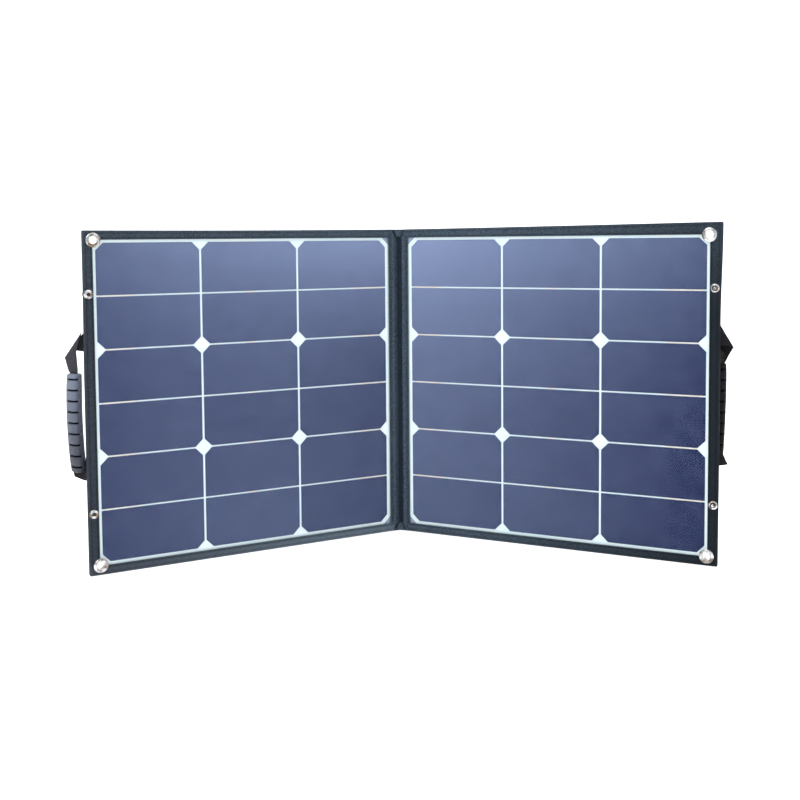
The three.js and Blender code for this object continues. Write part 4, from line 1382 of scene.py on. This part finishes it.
def pocket():
    """The pocket's cloth shell, open towards the panel, with a slot for the zip."""
    low, high = RIGHT.box("pocket_shell", own=False)
    area = area_of(low, high)
    base, face = low[1], high[1]
    seed = 40.0

    def loop_at(inset, height, bulge=0.0):
        rise = height / (face - base)
        made = []
        loop = rectangle(*inset_by(area, inset), max(13 - inset, 0.5), base + height, 28, 8)
        for u, y, z in loop:
            wrinkle = ripple(u, z, 0.9 * rise, seed) + ripple(u * 3, z * 3, 0.25 * rise, seed + 5)
            made.append((u, y + bulge + min(wrinkle, 0.4), z))
        return made

    mesh = Mesh()
    mesh.add(*skin([loop_at(*row) for row in POCKET_OUTSIDE], caps=False))
    inner_start = len(mesh.points)
    mesh.add(*skin([loop_at(*row) for row in POCKET_INSIDE], caps=False))
    count = inner_start // len(POCKET_OUTSIDE)
    foot = len(mesh.points) - count
    joining = [tuple(range(inner_start - count, inner_start)), tuple(range(inner_start, inner_start + count))]
    for i in range(count):
        j = (i + 1) % count
        joining.append((i, j, foot + j, foot + i))
    mesh.faces += joining
    mesh.marks += [0] * len(joining)
    piece = mesh.make("pocket_cloth", RIGHT, [CLOTH["right"]], 50)
    chain_low, chain_high = RIGHT.box("zipper_chain", own=False)
    zip_u = (chain_low[0], chain_high[0])
    zip_z = (chain_low[2] + POCKET_SLOT_MARGIN, chain_high[2] - POCKET_SLOT_MARGIN)
    slot_tool = Mesh()
    slot_tool.add(*plate(zip_u[0] + 2, zip_u[1] - 2, *zip_z, face - 5, face + 5, 2.5, 0.3))
    cut_with(piece, slot_tool.make("slot_tool", RIGHT, []))
    settle(piece, RIGHT.body, "woven_fabric", "pocket_shell")

    threads = Mesh()
    stitch_frame(threads, *inset_by(area, -4), base + 1.0, rise=(0, 1, 0))
    zip_z = (chain_low[2] - POCKET_SLOT_MARGIN, chain_high[2] + POCKET_SLOT_MARGIN)
    stitch_frame(threads, zip_u[0] - 0.5, zip_u[1] + 0.5, *zip_z, face + 0.15, rise=(0, 1, 0))
    settle(threads.make("pocket_stitching", RIGHT, [THREAD]), RIGHT.body, "woven_fabric")
    middle_z = (chain_low[2] + chain_high[2]) / 2
    zip_chain(chain_low, chain_high, middle_z, face)
    zip_slider(middle_z)
    zip_pull()


def zip_chain(low, high, middle_z, face):
    """The two halves of the zip tape, and their teeth in turns."""
    mesh = Mesh()
    for z0, z1 in ((low[2] - 0.6, middle_z - 0.15), (middle_z + 0.15, high[2] + 0.6)):
        mesh.add(*plate(low[0] + 0.4, high[0] - 0.4, z0, z1, face - 2.2, face - 1.5, 0.5, 0.2))
    pitch = 2.1
    for k in range(int((high[0] - low[0] - 6) / pitch)):
        for side, shift in ((1, 0.0), (-1, pitch / 2)):
            u = low[0] + 3.5 + k * pitch + shift
            z0, z1 = sorted((middle_z - side * 0.7, middle_z + side * 2.3))
            mesh.add(*plate(u, u + 1.1, z0, z1, face - 1.6, face + 0.4, 0.35, 0.3, 2), 1)
    piece = mesh.make("zip_tape_and_teeth", RIGHT, [EDGE["right"], BLACK_PLASTIC_AND_PAINTED_SHADE], 40)
    settle(piece, RIGHT.body, "black_plastic", "zipper_chain")


def zip_slider(middle_z):
    """The slider's plate and side walls, with the wire bridge that holds its pull."""
    low, high = RIGHT.box("zipper_slider", own=False)
    front = low[1]
    mesh = Mesh()
    mesh.add(*plate(low[0], high[0], low[2], high[2], front + 0.9, front + 2.2, 3.4, 0.5))
    for z0, z1 in ((low[2], low[2] + 1.3), (high[2] - 1.3, high[2])):
        mesh.add(*plate(low[0] + 0.6, high[0] - 0.6, z0, z1, front + 0.1, front + 1.4, 0.6, 0.4))
    bridge = []
    for step in range(13):
        angle = math.pi * step / 12
        c, s = math.cos(angle), math.sin(angle)
        centre_u = (low[0] + high[0]) / 2 - 4.2 * c
        centre_y = front + 1.9 + 1.7 * s
        bridge.append([
            (centre_u + 0.6 * c * math.cos(t), centre_y - 0.6 * s * math.cos(t), middle_z + 1.1 * math.sin(t))
            for t in circle(10)
        ])
    mesh.add(*skin(bridge))
    piece = mesh.make("zip_slider_body", RIGHT, [NICKEL], 40)
    settle(piece, "zip_slider", "nickel", "zipper_slider")


def zip_pull():
    """The pull: a waisted tab with a hole at its lower end."""
    low, high = RIGHT.box("zipper_pull", own=False)
    middle_u, _, middle_z = middle(low, high)
    half_width, half_height = (high[0] - low[0]) / 2, (high[2] - low[2]) / 2
    loops = []
    for inset, y in round_edge(low[1], high[1], 0.4):
        loop = []
        for angle in circle(40):
            c, s = math.cos(angle), math.sin(angle)
            waist = 1 - 0.22 * math.exp(-((s - 0.35) / 0.35) ** 2)
            u = middle_u + (half_width - inset) * math.copysign(abs(c) ** 0.6, c) * waist
            z = middle_z + (half_height - inset) * math.copysign(abs(s) ** 0.8, s)
            loop.append((u, y, z))
        loops.append(loop)
    tab = Mesh()
    tab.add(*skin(loops))
    piece = tab.make("zip_pull_tab", RIGHT, [NICKEL], 40)
    hole = Mesh()
    hole.add(*turned((middle_u, 0, low[2] + 5), [(1.7, low[1] - 3), (1.7, high[1] + 3)], 32))
    cut_with(piece, hole.make("hole_tool", RIGHT, []))
    settle(piece, "zip_pull", "nickel", "zipper_pull")


# CAD nodes that keep their own shape

def paint(node, look):
    data = frame["nodes"][node].data
    data.materials.clear()
    data.materials.append(look)


def paint_frame():
    for panel in PANELS:
        paint(panel.name + "_front_film", FILM[panel.name])
        paint(panel.name + "_backsheet", SHEET[panel.name])
        paint(panel.name + "_stiffener_board", BOARD_PLASTIC)
    for node in ("junction_box_base", "junction_box_lid", "output_gland", "output_gland_nut"):
        paint(node, BLACK_PLASTIC_AND_PAINTED_SHADE)
    for index in range(1, 5):
        paint(f"junction_box_screw_{index}", NICKEL)
    paint("junction_box_gasket", SOFT_RUBBER)
    paint("diode_board", CIRCUIT)


for _panel in PANELS:
    front_cover(_panel)
    cover_stitching(_panel)
    cells(_panel)
    grommets(_panel)
    snaps(_panel)
    back_cover(_panel)
    stand(_panel)
    _handle = Handle(_panel)
    grip_piece(_handle)
    handle_strap(_handle)
spine()
spine_stitching()
pocket()
paint_frame()


# Studio: pale floor that rises into a backdrop, soft lights, and the camera

def studio():
    """The floor, which turns up into the backdrop."""
    floor_look = Look("pale_floor", 0.85, Emission_Strength=0.35)
    place = floor_look.place()
    floor_look.colour(floor_look.mix(floor_look.cloud(place, 300, 2), rgb(246, 246, 246), rgb(250, 250, 250)))
    wall = 2.6
    radius = 1.2
    profile = [(-6.0, 0.0), (wall - radius, 0.0)]
    for step in range(1, 17):
        angle = math.pi / 2 * step / 16
        profile.append((wall - radius + radius * math.sin(angle), radius * (1 - math.cos(angle))))
    profile.append((wall, 6.0))
    points = []
    for y, z in profile:
        points += [(-8.0, y, z), (8.0, y, z)]
    faces = [(2 * k, 2 * k + 1, 2 * k + 3, 2 * k + 2) for k in range(len(profile) - 1)]
    data = bpy.data.meshes.new("floor")
    data.from_pydata(points, [], faces)
    data.polygons.foreach_set("use_smooth", [True] * len(faces))
    data.materials.append(floor_look.material)
    floor = bpy.data.objects.new("floor", data)
    bpy.context.scene.collection.objects.link(floor)


def area_light(name, place, aim, size, power):
    data = bpy.data.lights.new(name, "AREA")
    data.shape = "RECTANGLE"
    data.size, data.size_y = size
    data.energy = power
    lamp = bpy.data.objects.new(name, data)
    lamp.location = place
    lamp.rotation_mode = "QUATERNION"
    lamp.rotation_quaternion = (Vector(aim) - Vector(place)).to_track_quat("-Z", "Y")
    bpy.context.scene.collection.objects.link(lamp)


def lights():
    centre = RIGHT.origin
    area_light("key", centre + Vector((-1.4, -1.9, 1.9)), centre, (1.6, 1.4), 34)
    area_light("fill", centre + Vector((2.2, -1.8, 1.3)), centre, (1.6, 1.6), 12)
    area_light("top", centre + Vector((0, -0.3, 2.5)), centre, (2.5, 1.6), 42)
    area_light("backdrop", centre + Vector((0, 0.6, 2.4)), centre + Vector((0, 2.4, 0.4)), (3.0, 1.0), 30)
    world = bpy.data.worlds.new("studio")
    world.use_nodes = True
    world.node_tree.nodes["Background"].inputs["Color"].default_value = (0.93, 0.96, 1.0, 1)
    world.node_tree.nodes["Background"].inputs["Strength"].default_value = 0.62
    bpy.context.scene.world = world
    bpy.context.scene.view_settings.view_transform = "Standard"


def camera():
    """The photographer's view: from a little left of the spine, above mid-height."""
    data = bpy.data.cameras.new("camera")
    data.lens = 45.64
    data.sensor_width = 36
    data.shift_x = 0.02195
    data.shift_y = -0.12446
    data.clip_start, data.clip_end = 0.01, 50
    seen_from = bpy.data.objects.new("camera", data)
    seen_from.location = RIGHT.origin + Vector((-48.88, -1357.44, 188.16)) * MM
    seen_from.rotation_euler = [math.radians(a) for a in (86.674, 0.510, -1.188)]
    bpy.context.scene.collection.objects.link(seen_from)
    bpy.context.scene.camera = seen_from


studio()
lights()
camera()
